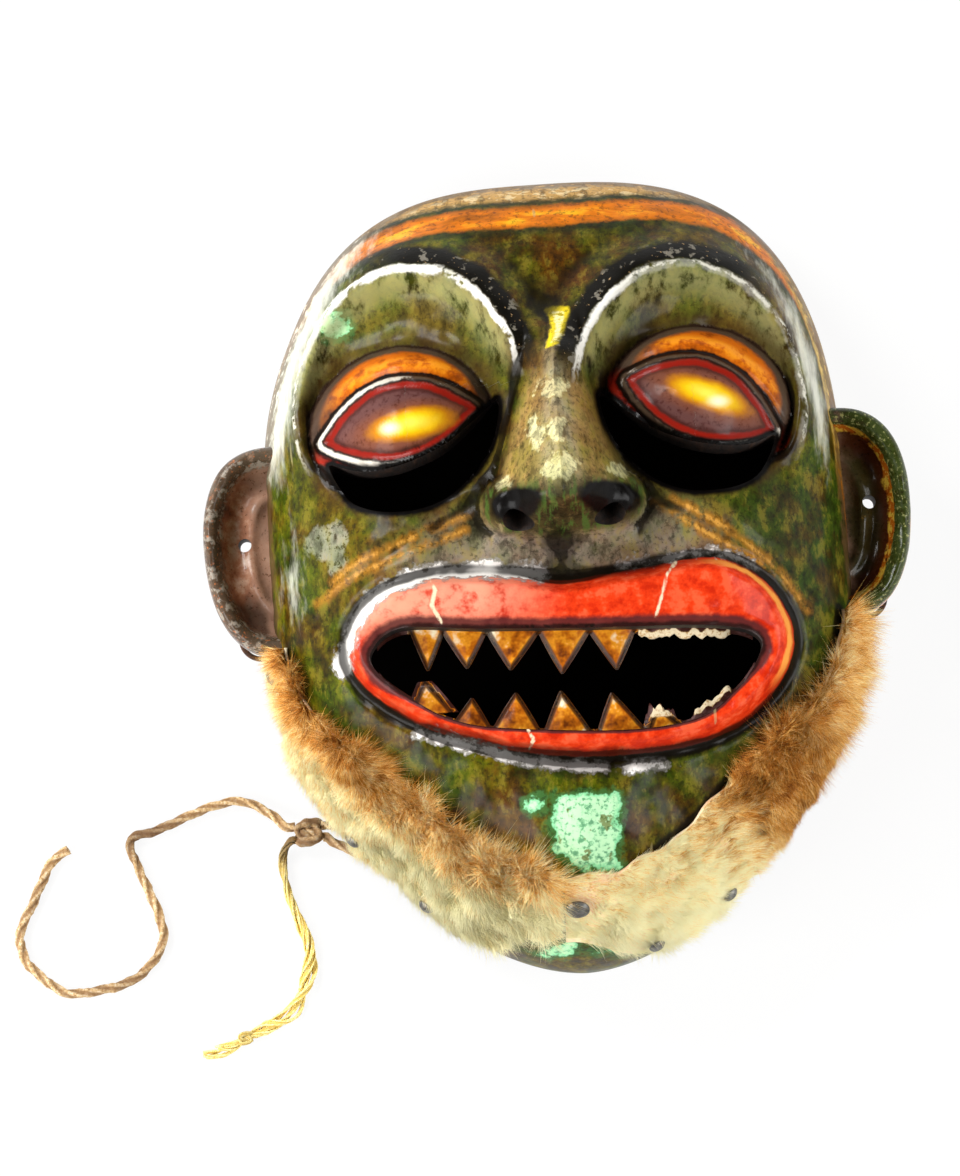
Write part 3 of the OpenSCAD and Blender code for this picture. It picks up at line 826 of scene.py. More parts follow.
@dataclass(frozen=True)
class ToothPaint(Finish):
    """Amber varnish on small wooden teeth with dark drawn edges.

    It gives the eye bright orange faces with painted yellow highlights, brown outlines and pale raw wood
    where it broke.
    """

    name: str = "varnished_tooth_wood"

    def lay(self, coats: Coats) -> None:
        """Builds amber faces, outlines, gums and breaks.

        Args:
            coats: The material's coats.
        """
        coat, over = coats.coat, coats.over
        blot = coats.mottle(6, 31, detail=3)
        fine = coats.mottle(0.9, 32)
        # The palest tones, in large blots, are painted highlights.
        coats.ground(blot, ((0.32, "#6e3206"), (0.44, "#bc640c"), (0.56, "#eb9a22"), (0.7, "#fff0cc")))
        edge = coats.ragged("edge", blot, 0.22)
        coat("#3a1a07", over(edge, 0.58, 0.14, 0.9))
        coat("#170c05", over(edge, 0.86, 0.06), over(fine, 0.42, 0.1, 0.9))
        gum = coats.field("gum")
        coat("#3c1d16", over(gum, 0.5, 0.2))
        coat("#6a4a48", over(gum, 0.5, 0.2), over(blot, 0.55, 0.06, 0.7))
        raw = coats.ragged("raw", fine, 0.3)
        coat("#c99b5c", over(raw, 0.45, 0.1))
        coat("#f4e2bd", over(raw, 0.55, 0.1), over(fine, 0.42, 0.1))
        coats.finish(0.42, blot, 0.3, Specular_IOR_Level=0.1, Coat_Weight=0.06, Coat_Roughness=0.15)


@dataclass(frozen=True)
class BareHide(Finish):
    """Dried hide with its hair worn thin.

    It gives the eye pale pinkish tan skin with stains and darker pores. The pores are drawn coarser than
    real ones, so that they show.
    """

    name: str = "dried_hide"

    def lay(self, coats: Coats) -> None:
        """Builds skin, pores and stains.

        Args:
            coats: The material's coats.
        """
        stain = coats.mottle(12, 41)
        pore = coats.mottle(1.2, 42)
        coats.ground(stain, ((0.32, "#f0b488"), (0.5, "#ffdcae"), (0.7, "#fff4d0")))
        coats.coat("#94683e", coats.under(pore, 0.38, 0.05, 0.4))
        coats.finish(0.62, pore, 0.3)


@dataclass(frozen=True)
class Fur(Finish):
    """Short coarse animal hair, brown at the roots and cream where it is worn and bleached.

    It gives the eye soft fibres with a low sheen, light tips and a tone that changes over the strip.
    """

    name: str = "coarse_fur"

    def lay(self, coats: Coats) -> None:
        """Builds hair colour from the tone of the strip, the hair's own shade and its length.

        Args:
            coats: The material's coats.
        """
        tone = coats.ragged(coats.ragged("tone", "shade", 0.24), coats.mottle(5, 51), 0.55)
        ramp = ((0.04, "#4a2404"), (0.26, "#a0580c"), (0.44, "#e2942c"), (0.62, "#ffd67c"), (0.82, "#fff8c8"))
        coats.ground(tone, ramp)
        root = coats.both(coats.under("along", 0.25, 0.2, 0.5), coats.under(tone, 0.55, 0.2))
        coats.coat("#6a3c10", root)
        coats.finish(0.6, None, 0, Specular_IOR_Level=0.25)


@dataclass(frozen=True)
class TwistedCord(Finish):
    """Hand-laid plant-fibre cord.

    It gives the eye matt strands with painted shade in the gaps between the turns and specks of fibre. The
    fibre is drawn coarser than real fibre, so that it shows.
    """

    name: str = "laid_fibre_cord"
    deep: str = "#8a6238"
    body: str = "#deba84"
    light: str = "#fdeed0"

    def lay(self, coats: Coats) -> None:
        """Builds strands from the depth that the mesh stores.

        Args:
            coats: The material's coats.
        """
        fibre = coats.mottle(0.9, 61)
        soil = coats.mottle(8, 62)
        coats.ground(fibre, ((0.3, self.deep), (0.5, self.body), (0.7, self.light)))
        # Painted shade: the deep colour in the gaps between the plies.
        coats.coat(self.deep, coats.over("groove", 0.45, 0.3, 0.75))
        coats.coat("#5c3e24", "stain", coats.over(soil, 0.35, 0.12, 0.9))
        coats.finish(0.85, fibre, 0.25)


@dataclass(frozen=True)
class TackSteel(Finish):
    """Hammered steel tack heads, dulled by air and hands.

    It gives the eye dark grey metal with soft dents and brown specks of rust.
    """

    name: str = "dulled_steel"

    def lay(self, coats: Coats) -> None:
        """Builds grey metal with dents and rust.

        Args:
            coats: The material's coats.
        """
        dent = coats.mottle(2.2, 71, detail=2)
        speck = coats.mottle(0.8, 72)
        coats.ground(dent, ((0.35, "#4c4b48"), (0.6, "#7d7c78")))
        coats.coat("#5a3c22", coats.over(speck, 0.6, 0.06, 0.6))
        coats.finish(coats.over(speck, 0, 0.4, 0.5), dent, 0.25, Metallic=0.85)


def slab(front: Array, back: Array) -> tuple[Array, Array]:
    """Closes the room between two grids of points.

    Args:
        front: Grid of points.
        back: Grid of the same shape on the far side.

    Returns:
        Rows of points, and faces.
    """
    rows, columns = front.shape[:2]
    top = rows * columns
    near = grid_faces(rows, columns, False)
    far = grid_faces(rows, columns, False, top)[:, ::-1]
    number = np.arange(top).reshape(rows, columns)
    edge = np.concatenate([number[0, :-1], number[:-1, -1], number[-1, :0:-1], number[:0:-1, 0]])
    after = np.roll(edge, -1)
    sides = np.stack([after, edge, edge + top, after + top], axis=1)
    return np.vstack([front.reshape(-1, 3), back.reshape(-1, 3)]), np.vstack([near, far, sides])


def solid(name: str, points: Array, faces: Sequence) -> Object:
    """Makes a closed mesh object whose faces point out.

    Args:
        name: Its name.
        points: Rows of corners.
        faces: Corner numbers of each face.

    Returns:
        The object, in the scene.
    """
    piece = mesh_object(name, points, faces)
    tool = bmesh.new()
    tool.from_mesh(piece.data)
    bmesh.ops.recalc_face_normals(tool, faces=tool.faces)
    if tool.calc_volume(signed=True) < 0:
        bmesh.ops.reverse_faces(tool, faces=tool.faces)
    tool.to_mesh(piece.data)
    tool.free()
    return piece


def bar(name: str, low: Array, high: Array) -> Object:
    """Closes the room between two rings of points.

    Args:
        name: Its name.
        low: Rows of the first ring.
        high: Rows of the second ring.

    Returns:
        The closed mesh.
    """
    count = len(low)
    sides = [(k, (k + 1) % count, count + (k + 1) % count, count + k) for k in range(count)]
    return solid(name, np.vstack([low, high]), [*sides, range(count), range(count, 2 * count)])


def prism(name: str, loop: Array, low: float, high: float) -> Object:
    """Stands a closed outline up from one height to another."""
    return bar(name, *(np.column_stack([loop, np.full(len(loop), z)]) for z in (low, high)))


def rod(name: str, start: Sequence[float], end: Sequence[float], radius: float) -> Object:
    """Makes a straight round bar between two points, to drill with.

    Args:
        name: Its name.
        start: Middle of one end.
        end: Middle of the other.
        radius: Half its width.

    Returns:
        The closed mesh.
    """
    a, b = np.asarray(start, dtype=float), np.asarray(end, dtype=float)
    along = unit(b - a)
    side = unit(np.cross(along, (0.3, 0.5, 0.8)))
    turns = np.linspace(0, 2 * pi, 28, endpoint=False)[:, None]
    ring = radius * (np.cos(turns) * side + np.sin(turns) * np.cross(along, side))
    return bar(name, a + ring, b + ring)


def carve(piece: Object, tools: Sequence[Object], operation: str = "DIFFERENCE", cut_slot: int = 0) -> None:
    """Cuts tools out of a piece, or joins them to it, and removes the tools.

    Args:
        piece: The closed mesh.
        tools: Closed meshes.
        operation: DIFFERENCE or UNION.
        cut_slot: Material slot of the cut walls.
    """
    for tool in tools:
        for material in piece.data.materials:
            tool.data.materials.append(material)
        tool.data.polygons.foreach_set(
            "material_index", np.full(len(tool.data.polygons), cut_slot, dtype=np.int32))
        step = piece.modifiers.new(tool.name, "BOOLEAN")
        step.operation = operation
        step.solver = "MANIFOLD"
        step.object = tool
    bake_modifiers(piece)
    for tool in tools:
        bpy.data.objects.remove(tool)


@dataclass
class CarvedForm:
    """The carved block's surfaces: heights over the back rim, in the layout of the solid."""

    width: float = 177.0
    height: float = 240.0
    depth: float = 72.0
    wall: float = 9.0
    front_wall: float = 10.0
    nose_rise: float = 33.0
    eye_bulge: float = 17.0
    socket_depth: float = 7.0
    brow_rise: float = 7.0
    lip_rise: float = 8.0
    cheek_rise: float = 5.0
    chin_rise: float = 7.0
    strip_set: float = 4.0
    strip_bow: float = 8.0
    mouth_width: float = 116.0
    lip_knots: tuple[Point, ...] = (
        (-63, -22), (-56, -10), (-38, -4), (-15, -5), (0, -8), (18, -6.5), (44, -4.5), (60, -13), (66, -29),
        (57, -45), (38, -55.5), (8, -58), (-20, -54), (-42, -46), (-58, -34.5))
    mouth_knots: tuple[Point, ...] = (
        (-56, -24.5), (-47, -18.5), (-24, -20.5), (10, -22.5), (44, -24), (55.5, -28), (54, -35), (47, -43),
        (36, -50), (14, -52), (-20, -49), (-35, -45), (-46, -38), (-54, -31))
    slit_knots: tuple[Point, ...] = (
        (15, 46.5), (22, 40), (30, 33.5), (40, 29), (50, 27.5), (58, 28.5), (65, 31), (60, 21), (54, 17),
        (47, 15.5), (38, 16), (29, 20), (21, 28), (16, 37))
    lip_loop: Array = field(init=False)
    mouth_loop: Array = field(init=False)
    slit_loops: dict[Side, Array] = field(init=False)
    almond_loops: dict[Side, Array] = field(init=False)

    def __post_init__(self) -> None:
        """Draws the outlines that the carving and the paint share."""
        self.lip_loop = curve_through(self.lip_knots, 6, closed=True)
        self.mouth_loop = curve_through(self.mouth_knots, 6, closed=True)
        right = curve_through(self.slit_knots, 4, closed=True)
        self.slit_loops = {side: right * (side.value, 1) for side in Side}
        self.almond_loops = {
            Side.LEFT: self.almond(-43.6, 40.8, 7.4), Side.RIGHT: self.almond(43.6, 40.8, -21.8)}

    @staticmethod
    def almond(x: float, y: float, tilt: float) -> Array:
        """Draws an eye's pointed outline about its middle, tilted by degrees.

        Args:
            x: Its middle across the face.
            y: Its middle up the face.
            tilt: Degrees.

        Returns:
            Rows of points.
        """
        s = np.linspace(-1, 1, 25)
        upper = np.column_stack([21.6 * s, 10.6 * (1 - s * s)])
        lower = np.column_stack([21.6 * s[-2:0:-1], -10 * (1 - s[-2:0:-1] ** 2)])
        turn = radians(tilt)
        matrix = np.array([[cos(turn), sin(turn)], [-sin(turn), cos(turn)]])
        return np.vstack([upper, lower]) @ matrix + (x, y)

    def rim(self, turn: Array, inset: float = 0.0) -> Array:
        """Gives the distance from the middle to the back rim at an angle in radians.

        Args:
            turn: Angles in radians.
            inset: How far inside the rim to measure.

        Returns:
            Distances.
        """
        rise = np.sin(turn)
        n = 1.8 + 1.45 * np.clip((rise + 0.85) / 1.05, 0, 1)
        n = n - (0.35 - 0.3 * np.cos(turn)) * smooth(0.3, 0.75, rise)
        across = np.abs(np.cos(turn)) / (self.width / 2 - inset)
        up = np.abs(rise) / (self.height / 2 - inset)
        return (across ** n + up ** n) ** (-1 / n)

    @staticmethod
    def crown(share: Array, depth: float) -> Array:
        """Gives the plain height of the block at a share of the way to the rim."""
        return depth * np.clip(1 - share ** 3.4, 0, None) ** (1 / 2.4)

    @staticmethod
    def brow_place(x: Array, y: Array, side: Side) -> tuple[Array, Array]:
        """Gives the place across a brow, 1 on its crest, and how far the brow reaches there.

        Args:
            x: Places across the face.
            y: Places up the face.
            side: Which brow.

        Returns:
            Both values for each point.
        """
        s = side.value
        up = y - 45 + 2.5 * s
        outer = smooth(-20, -4, up)
        inner = smooth(2, 16, up)
        return oval(s * x - 41, up, 33, 40), np.where(s * x > 41, outer, inner)

    @staticmethod
    def socket(x: Array, y: Array, side: Side) -> Array:
        """Gives the depth of an eye socket from 0 to 1."""
        place, _ = CarvedForm.brow_place(x, y, side)
        return smooth(1, 0.6, place) * smooth(-32, -10, y - 45)

    @staticmethod
    def eyeball(x: Array, y: Array, side: Side) -> Array:
        """Gives the place on a bulging eye, 0 in the middle and 1 at its edge."""
        return oval(side.value * x - 43.5, y - 41.5, 27, 24)

    @staticmethod
    def nose(x: Array, y: Array) -> Array:
        """Gives the height of the nose from 0 to 1.

        Args:
            x: Places across the face.
            y: Places up the face.

        Returns:
            One share a point.
        """
        run = np.clip((62 - y) / 44, 0, 1)
        q = np.clip(np.abs(x - 2) / (8 + 13 * run ** 1.1), 0, 1)
        section = 0.35 * (1 - q * q) ** 0.75 + 0.65 * (1 - q) ** 0.9
        bridge = (0.26 + 0.74 * run) * section * smooth(1, 15, y) * smooth(76, 58, y)
        wings = [0.46 * np.clip(1 - oval(s * (x - 2) - 14, y - 14.5, 10.5, 9.5) ** 2, 0, None) ** 0.7
                 for s in (-1, 1)]
        wing = np.maximum(*wings)
        blend = np.clip(0.1 - np.abs(bridge - wing), 0, None) / 0.1
        return np.maximum(bridge, wing) + 0.025 * blend ** 2 * smooth(0, 0.15, np.minimum(bridge, wing))

    def relief(self, x: Array, y: Array) -> Array:
        """Gives the height of the carving above the plain block.

        Args:
            x: Places across the face.
            y: Places up the face.

        Returns:
            One height a point.
        """
        total = self.nose_rise * self.nose(x, y)
        brows, sockets, eyes, lids = (np.zeros(x.shape) for _ in range(4))
        for side in Side:
            place, reach = self.brow_place(x, y, side)
            ridge = np.where(place < 1.03, smooth(0.81, 1.03, place), smooth(1.43, 1.04, place))
            brows = np.maximum(brows, reach * ridge)
            sockets = np.maximum(sockets, self.socket(x, y, side))
            eyes = np.maximum(eyes, np.clip(1 - self.eyeball(x, y, side) ** 2, 0, None) ** 0.67)
            gap = outline_distance(x, y, self.almond_loops[side])
            lids += 1.3 * bell(gap, 1.6, 1.1) - 1.5 * bell(gap, 4, 1.2) + 0.8 * bell(gap, 8, 2.4)
            lids += 1.2 * smooth(0, -9, gap)
            total -= bell(self.eyeball(x, y, side), 1.02, 0.05)
        total += self.brow_rise * brows - self.socket_depth * sockets + self.eye_bulge * eyes + lids
        lip = outline_distance(x, y, self.lip_loop)
        mouth = outline_distance(x, y, self.mouth_loop)
        total += self.lip_rise * smooth(0.8, -4.2, lip) - 1.2 * bell(lip, 2, 1.4)
        total -= 2.6 * smooth(5, 0, mouth)
        total += self.cheek_rise * soft(oval(np.abs(x) - 50, y - 2, 26, 24))
        total += self.chin_rise * soft(oval(x, y + 84, 32, 28))
        for s in (-1, 1):
            fold = curve_through(((s * 25, 16), (s * 42, 7), (s * 58, -2), (s * 72, -14)), 4)
            total -= 1.1 * bell(line_distance(x, y, fold), 0, 2.6)
            total += 0.9 * bell(np.hypot(x - 2 - 13 * s, y - 12.5), 6.2, 1.6)
        return total - 0.8 * bell(x - 1, 0, 3) * smooth(-6, -3, y) * smooth(4, 0, y)

    def front(self, turn: Array, part: Array) -> Array:
        """Gives points of the carved front.

        Args:
            turn: Angles in radians.
            part: Places from 0 in the middle to 1 at the back rim.

        Returns:
            Points along the last axis.
        """
        share = np.sin(0.5 * pi * part)
        reach = self.rim(turn) * share
        x, y = reach * np.cos(turn), reach * np.sin(turn)
        z = self.crown(share, self.depth) + self.relief(x, y) * smooth(0.97, 0.86, share)
        return np.stack([x, y, z], axis=-1)

    def hollow(self, turn: Array, part: Array) -> Array:
        """Gives points of the hollowed back, gouge marks included.

        Args:
            turn: Angles in radians.
            part: Places from 0 in the middle to 1 at the back rim.

        Returns:
            Points along the last axis.
        """
        share = np.sin(0.5 * pi * part)
        reach = self.rim(turn, self.wall) * share
        x, y = reach * np.cos(turn), reach * np.sin(turn)
        z = self.crown(share, self.depth - self.front_wall)
        z = z + 0.5 * self.nose_rise * soft(oval(x - 2, y - 24, 22, 34))
        marks = ripple(np.stack([x.ravel(), 0.4 * y.ravel()], axis=1), 11, 5).reshape(x.shape)
        return np.stack([x, y, z + 0.5 * (marks - 1) * smooth(0.97, 0.8, share)], axis=-1)

    def above(self, turn: Array, part: Array, height: Array) -> tuple[Array, Array]:
        """Gives points over the carved front and the directions out of it.

        Args:
            turn: Angles in radians.
            part: Places from 0 in the middle to 1 at the back rim.
            height: How far over the front.

        Returns:
            Points, and directions of length 1.
        """
        across = self.front(turn, part + 0.004) - self.front(turn, part - 0.004)
        round_ = self.front(turn + 0.007, part) - self.front(turn - 0.007, part)
        out = unit(np.cross(across, round_))
        return self.front(turn, part) + np.asarray(height)[..., None] * out, out

    def strip_front(self, x: Array) -> Array:
        """Gives the height of the barrel on which the fronts of the tooth strips lie.

        Args:
            x: Places across the mouth.

        Returns:
            Heights.
        """
        half = self.mouth_width / 2
        radius = (half ** 2 + self.strip_bow ** 2) / (2 * self.strip_bow)
        return self.depth - self.strip_set - radius + np.sqrt(radius ** 2 - np.square(x))

    def mouth_edge(self, x: Array, upper: bool, grow: float = 0.0) -> Array:
        """Gives the upper or lower edge of the mouth opening at places across it.

        Args:
            x: Places across the mouth.
            upper: Whether it is the upper edge.
            grow: How far beyond the opening.

        Returns:
            Places up the face.
        """
        loop = np.vstack([self.mouth_loop, self.mouth_loop[:1]])
        low, high = np.full(x.shape, 1e9), np.full(x.shape, -1e9)
        for (ax, ay), (bx, by) in zip(loop[:-1], loop[1:]):
            hit = (x - ax) * (x - bx) <= 0
            y = np.where(hit, ay + (by - ay) * (x - ax) / (bx - ax if abs(bx - ax) > 1e-9 else 1e-9), 0)
            low = np.where(hit, np.minimum(low, y), low)
            high = np.where(hit, np.maximum(high, y), high)
        return high + grow if upper else low - grow


@dataclass
class CarvedFace:
    """The face block: one carved and hollowed piece of softwood with its paint."""

    form: CarvedForm
    steps_round: int = 480
    steps_front: int = 148
    steps_back: int = 22
    tie_holes: tuple[Place, ...] = ((71.727, -70.486, 8.5), (63.644, -80.012, 8.5))
    tie_hole_d: float = 4.4
    wire_y: float = -13.0
    wire_z: float = 9.5
    wire_w: float = 12.0
    nostril_d: float = 9.0
    strip_h: float = 5.0

    def build(self) -> None:
        """Builds the block with the slots painted, raw and cut, and cuts its openings."""
        turn = np.linspace(0, 2 * pi, self.steps_round, endpoint=False)
        outer = np.linspace(0, 1, self.steps_front + 1)[1:]
        inner = np.linspace(0, 1, self.steps_back + 1)[:0:-1]
        fronts = self.form.front(*np.meshgrid(turn, outer))
        backs = self.form.hollow(*np.meshgrid(turn, inner))
        flat = fronts.reshape(-1, 3)
        calm = smooth(0.99, 0.9, np.repeat(np.sin(0.5 * pi * outer), self.steps_round))
        flat[:, 2] += (0.2 * ripple(flat[:, :2], 15.0, 3) + 0.04 * ripple(flat[:, :2], 5.5, 4)) * calm
        poles = np.stack(
            [self.form.front(np.zeros(1), np.zeros(1))[0], self.form.hollow(np.zeros(1), np.zeros(1))[0]])
        points = np.vstack([flat, backs.reshape(-1, 3), poles])
        rows, n = len(outer) + len(inner), self.steps_round
        walls = grid_faces(rows, n, True)[:, ::-1]
        ring = np.arange(n)
        after = np.roll(ring, -1)
        top = np.stack([np.full(n, rows * n), ring, after], axis=1)
        under = np.stack([np.full(n, rows * n + 1), (rows - 1) * n + after, (rows - 1) * n + ring], axis=1)
        piece = mesh_object("carved_face", points, [*walls, *top, *under])
        for finish in (PaintedWood(), CarvedRawWood(), CUT_WOOD):
            finish.cover(piece)
        slots = np.zeros(len(piece.data.polygons), dtype=np.int32)
        slots[(len(outer) - 1) * n:len(walls)] = 1
        slots[-n:] = 1
        piece.data.polygons.foreach_set("material_index", slots)
        carve(piece, self.cutters(), cut_slot=2)
        piece.data.set_sharp_from_angle(angle=radians(40))
        self.dress(piece)
        hand_over(piece, "painted_wood", "face_shell")

    def cutters(self) -> list[Object]:
        """Makes the tools for the mouth, its rebate, the sight slits, the nostrils and the small holes.

        Returns:
            Closed meshes.
        """
        form = self.form
        tools = [prism("mouth_tool", form.mouth_loop, 24, 150), self.rebate()]
        for side in Side:
            s = side.value
            tools.append(prism("slit_tool", form.slit_loops[side], 24, 96))
            lean = radians(65)
            way = np.array([0, -sin(lean), cos(lean)])
            middle = np.array([2 + 13 * s, 13, form.depth + 0.28 * form.nose_rise])
            tools.append(rod("nostril_tool", middle - 6 * way, middle + 20 * way, self.nostril_d / 2))
            for x, y, z in self.tie_holes:
                tools.append(
                    rod("tie_hole_tool", (s * (x - 18), y, z), (s * (x + 18), y, z), self.tie_hole_d / 2))
            for shift in (-0.5, 0.5):
                y = self.wire_y + shift * self.wire_w
                tools.append(
                    rod("wire_hole_tool", (s * 70.5, y, self.wire_z), (s * 106.5, y, self.wire_z), 0.85))
        return tools

    def rebate(self) -> Object:
        """Makes the tool for the step behind the lips, where the tooth strips seat.

        Returns:
            The closed mesh.
        """
        x = np.linspace(-55.6, 55.1, 60)
        low = self.form.mouth_edge(x, False, self.strip_h)
        high = self.form.mouth_edge(x, True, self.strip_h)
        face = self.form.strip_front(x)
        deep = np.full(x.shape, 24.0)
        rings = np.stack([np.stack([x, low, deep], 1), np.stack([x, high, deep], 1),
                          np.stack([x, high, face], 1), np.stack([x, low, face], 1)], axis=1)
        rings[0, :, 0] -= 4
        rings[-1, :, 0] += 4
        faces = [*grid_faces(60, 4, True), range(4), range(236, 240)]
        return solid("rebate_tool", rings.reshape(-1, 3), faces)

    def dress(self, piece: Object) -> None:
        """Stores for the paint where each band, edge and worn place lies, and where painted light and shade
        go.

        Args:
            piece: The cut block.
        """
        place = corners(piece)
        x, y = place[:, 0], place[:, 1]
        turn = np.arctan2(y, x)
        fields = {**self.flesh_fields(x, y), **self.line_fields(x, y, turn), **self.eye_fields(x, y),
                  **self.mouth_fields(x, y), **self.crease_shade_fields(piece, place)}
        degrees = np.degrees(turn)
        rim = np.hypot(x, y) / self.form.rim(turn) - 0.1 * smooth(-92, -106, y)
        # Painted highlights and reflections on both temples and the left side, partly pale wear on the left.
        left_glare_and_wear = smooth(105, 130, degrees) * smooth(166, 150, degrees) * smooth(0.84, 0.96, rim)
        right_edge = bell(degrees, 34, 20) * bell(rim, 0.905, 0.035)
        wash = bell(np.abs(degrees), 180, 13) * bell(rim, 0.89, 0.06)
        # The painted shade of the hollows is kept out of the upper eye sockets.
        open_part = 1 - smooth(0.02, 0.3, fields["socket"]) * smooth(36, 50, y)
        fields["grime"] = fields["grime"] * (1 - 0.85 * fields["socket"]) * open_part
        fields["hollow"] = fields["hollow"] * open_part
        # The right hide's inner edge, along which a painted shadow lies on the face.
        seam = BeardHide(self.form, Side.RIGHT).inner_line()
        set_fields(
            piece, **fields, rim=rim, pale=left_glare_and_wear + 0.75 * right_edge + 0.42 * wash,
            gilt=bell(degrees, 34, 26) * smooth(0.93, 0.96, rim),
            seam=line_distance(x, y, seam) + 30 * smooth(20, 0, x))

    def flesh_fields(self, x: Array, y: Array) -> dict[str, Array]:
        """Places the sockets, cheeks, nose, strokes and bare spots.

        Args:
            x: Places across the face.
            y: Places up the face.

        Returns:
            One value a point under each name.
        """
        form = self.form
        strokes = (
            ((-24.8, 13.5), (-36.6, 9.4), (-46.9, 5.5), (-58.6, 1.7), (-67.5, -3.8)),
            ((-26.6, 8.7), (-36.9, 5.1), (-48.6, 1.5), (-60.3, -2), (-70.7, -7.9)),
            ((28.3, 13.2), (37.9, 6.2), (46.1, 0.4), (53.8, -3.9), (61.1, -9.9)),
            ((33.3, 13.7), (43.7, 7.2), (53.2, -0.1), (62.6, -8.5), (71, -19.8)))
        brows = [form.brow_place(x, y, side) for side in Side]
        nose = form.nose(x, y)
        sockets = np.maximum(*[form.socket(x, y, side) for side in Side])
        across = np.abs(x - 2) / (8 + 13 * np.clip((62 - y) / 44, 0, 1) ** 1.1)
        along = smooth(12, 20, y) * smooth(66, 52, y)
        return {
            # Painted shade where the nose meets the cheeks and sockets.
            "flank": smooth(0.72, 1, across) * smooth(1.3, 1.05, across) * along,
            "spine": smooth(0.4, 0.12, across) * along,
            "socket": sockets,
            "brown": sockets * np.maximum(smooth(44, 66, x), smooth(-48, -66, x) * smooth(70, 58, y)),
            "lit": np.maximum(*[bell(edge, 0.91, 0.1) * part * smooth(44, 62, y) for edge, part in brows]),
            "cheek": soft(oval(np.abs(x) - 50, y - 4, 36, 30)),
            "muzzle": soft(oval(x, y - 1, 62, 22)),
            # Weaker on the right side of the nose: painted light on its left side.
            "nose": smooth(0.05, 0.3, nose) * (1 - 0.75 * smooth(40, 58, y)) * (1 - 0.4 * smooth(5, 14, x)),
            "tip": smooth(0.08, 0.26, nose) * smooth(20, 14, y - 0.12 * np.abs(x - 2)),
            "glow": soft(oval(x - 10, y - 84, 42, 26)),
            # Painted shade on the right cheek and jaw.
            "far": smooth(18, 60, x) * smooth(30, 14, y),
            "stroke": np.minimum.reduce([line_distance(x, y, curve_through(s, 4)) for s in strokes]),
            "bare": blobs(x, y, (1, 46, 4.6, 3.6), (-4.5, 33, 2.2, 5), (2, 33, 2.6, 4), (2, 21.5, 5.4, 4.2),
                          (-14.5, 19.5, 2.2, 3), (18.5, 21.5, 4, 2.6)),
            "grey": blobs(x, y, (-67, 9, 6.5, 5.5), (-64, 2, 3, 3))}

    def line_fields(self, x: Array, y: Array, turn: Array) -> dict[str, Array]:
        """Places the arch on the forehead, the brows and the pale patches.

        Args:
            x: Places across the face.
            y: Places up the face.
            turn: Angles in radians.

        Returns:
            One value a point under each name.
        """
        away = np.abs(np.degrees(turn) - 90)
        away = np.where(away > 180, 360 - away, away)
        knots = curve_through(((-20, 0.7), (0, 0.655), (20, 0.7), (45, 0.855), (70, 0.885), (100, 0.9)), 8)
        part = np.interp(away, knots[8:, 0], knots[8:, 1])
        band = np.hypot(x, y) - self.form.rim(turn) * np.sin(0.5 * pi * part) - 2 * np.maximum(away - 100, 0)
        right_taper = 0.35 * smooth(38, 66, away) + 0.5 * smooth(66, 95, away)
        band = band / (1 - 0.95 * np.where(x < 0, smooth(30, 56, away), right_taper))
        mark = np.array(((0.9, 72.0), (7.6, 71.4), (6.0, 64.5), (7.4, 58.6), (0.2, 58.6), (2.2, 65.0)))
        mint = np.array(((-6.2, -69.3), (12.5, -69.7), (10.4, -90.5), (-1.9, -90.2), (-8, -83.5)))
        spots = blobs(x, y, (-62, 74, 5, 3.6), (-12, -72, 2.5, 2), (-8, -112, 4, 1.6), (9, -112.5, 5, 1.6),
                      (24, -107, 4, 1.6))
        brow, reach = np.full(x.shape, 99.0), np.zeros(x.shape)
        for side in Side:
            place, part_of = self.form.brow_place(x, y, side)
            offset = (place - 1.03) * 36
            nearer = (np.abs(offset) < np.abs(brow)) & (part_of > 0.02)
            brow, reach = np.where(nearer, offset, brow), np.where(nearer, part_of, reach)
        return {
            "band": band, "mark": outline_distance(x, y, mark),
            "mint": np.minimum(outline_distance(x, y, mint), spots), "brow": brow, "reach": reach,
            "inked": np.where(x > 0, smooth(72, 58, x), smooth(-62, -40, x)),
            # Where the brow's white line, chipped gesso and painted highlight, runs thick.
            "chalk": np.where(x < 0, smooth(-76, -60, x), 1 - 0.8 * smooth(18, 34, x)),
            "high": smooth(62, 30, away)}

    def eye_fields(self, x: Array, y: Array) -> dict[str, Array]:
        """Places the lids, the outlines, the irises and the painted glints on them.

        Args:
            x: Places across the face.
            y: Places up the face.

        Returns:
            One value a point under each name.
        """
        form = self.form
        middles = {Side.LEFT: (-39.6, 39.5, 7.4), Side.RIGHT: (45.7, 42.2, -21.8)}
        almond, dome, iris = (np.full(x.shape, 99.0) for _ in range(3))
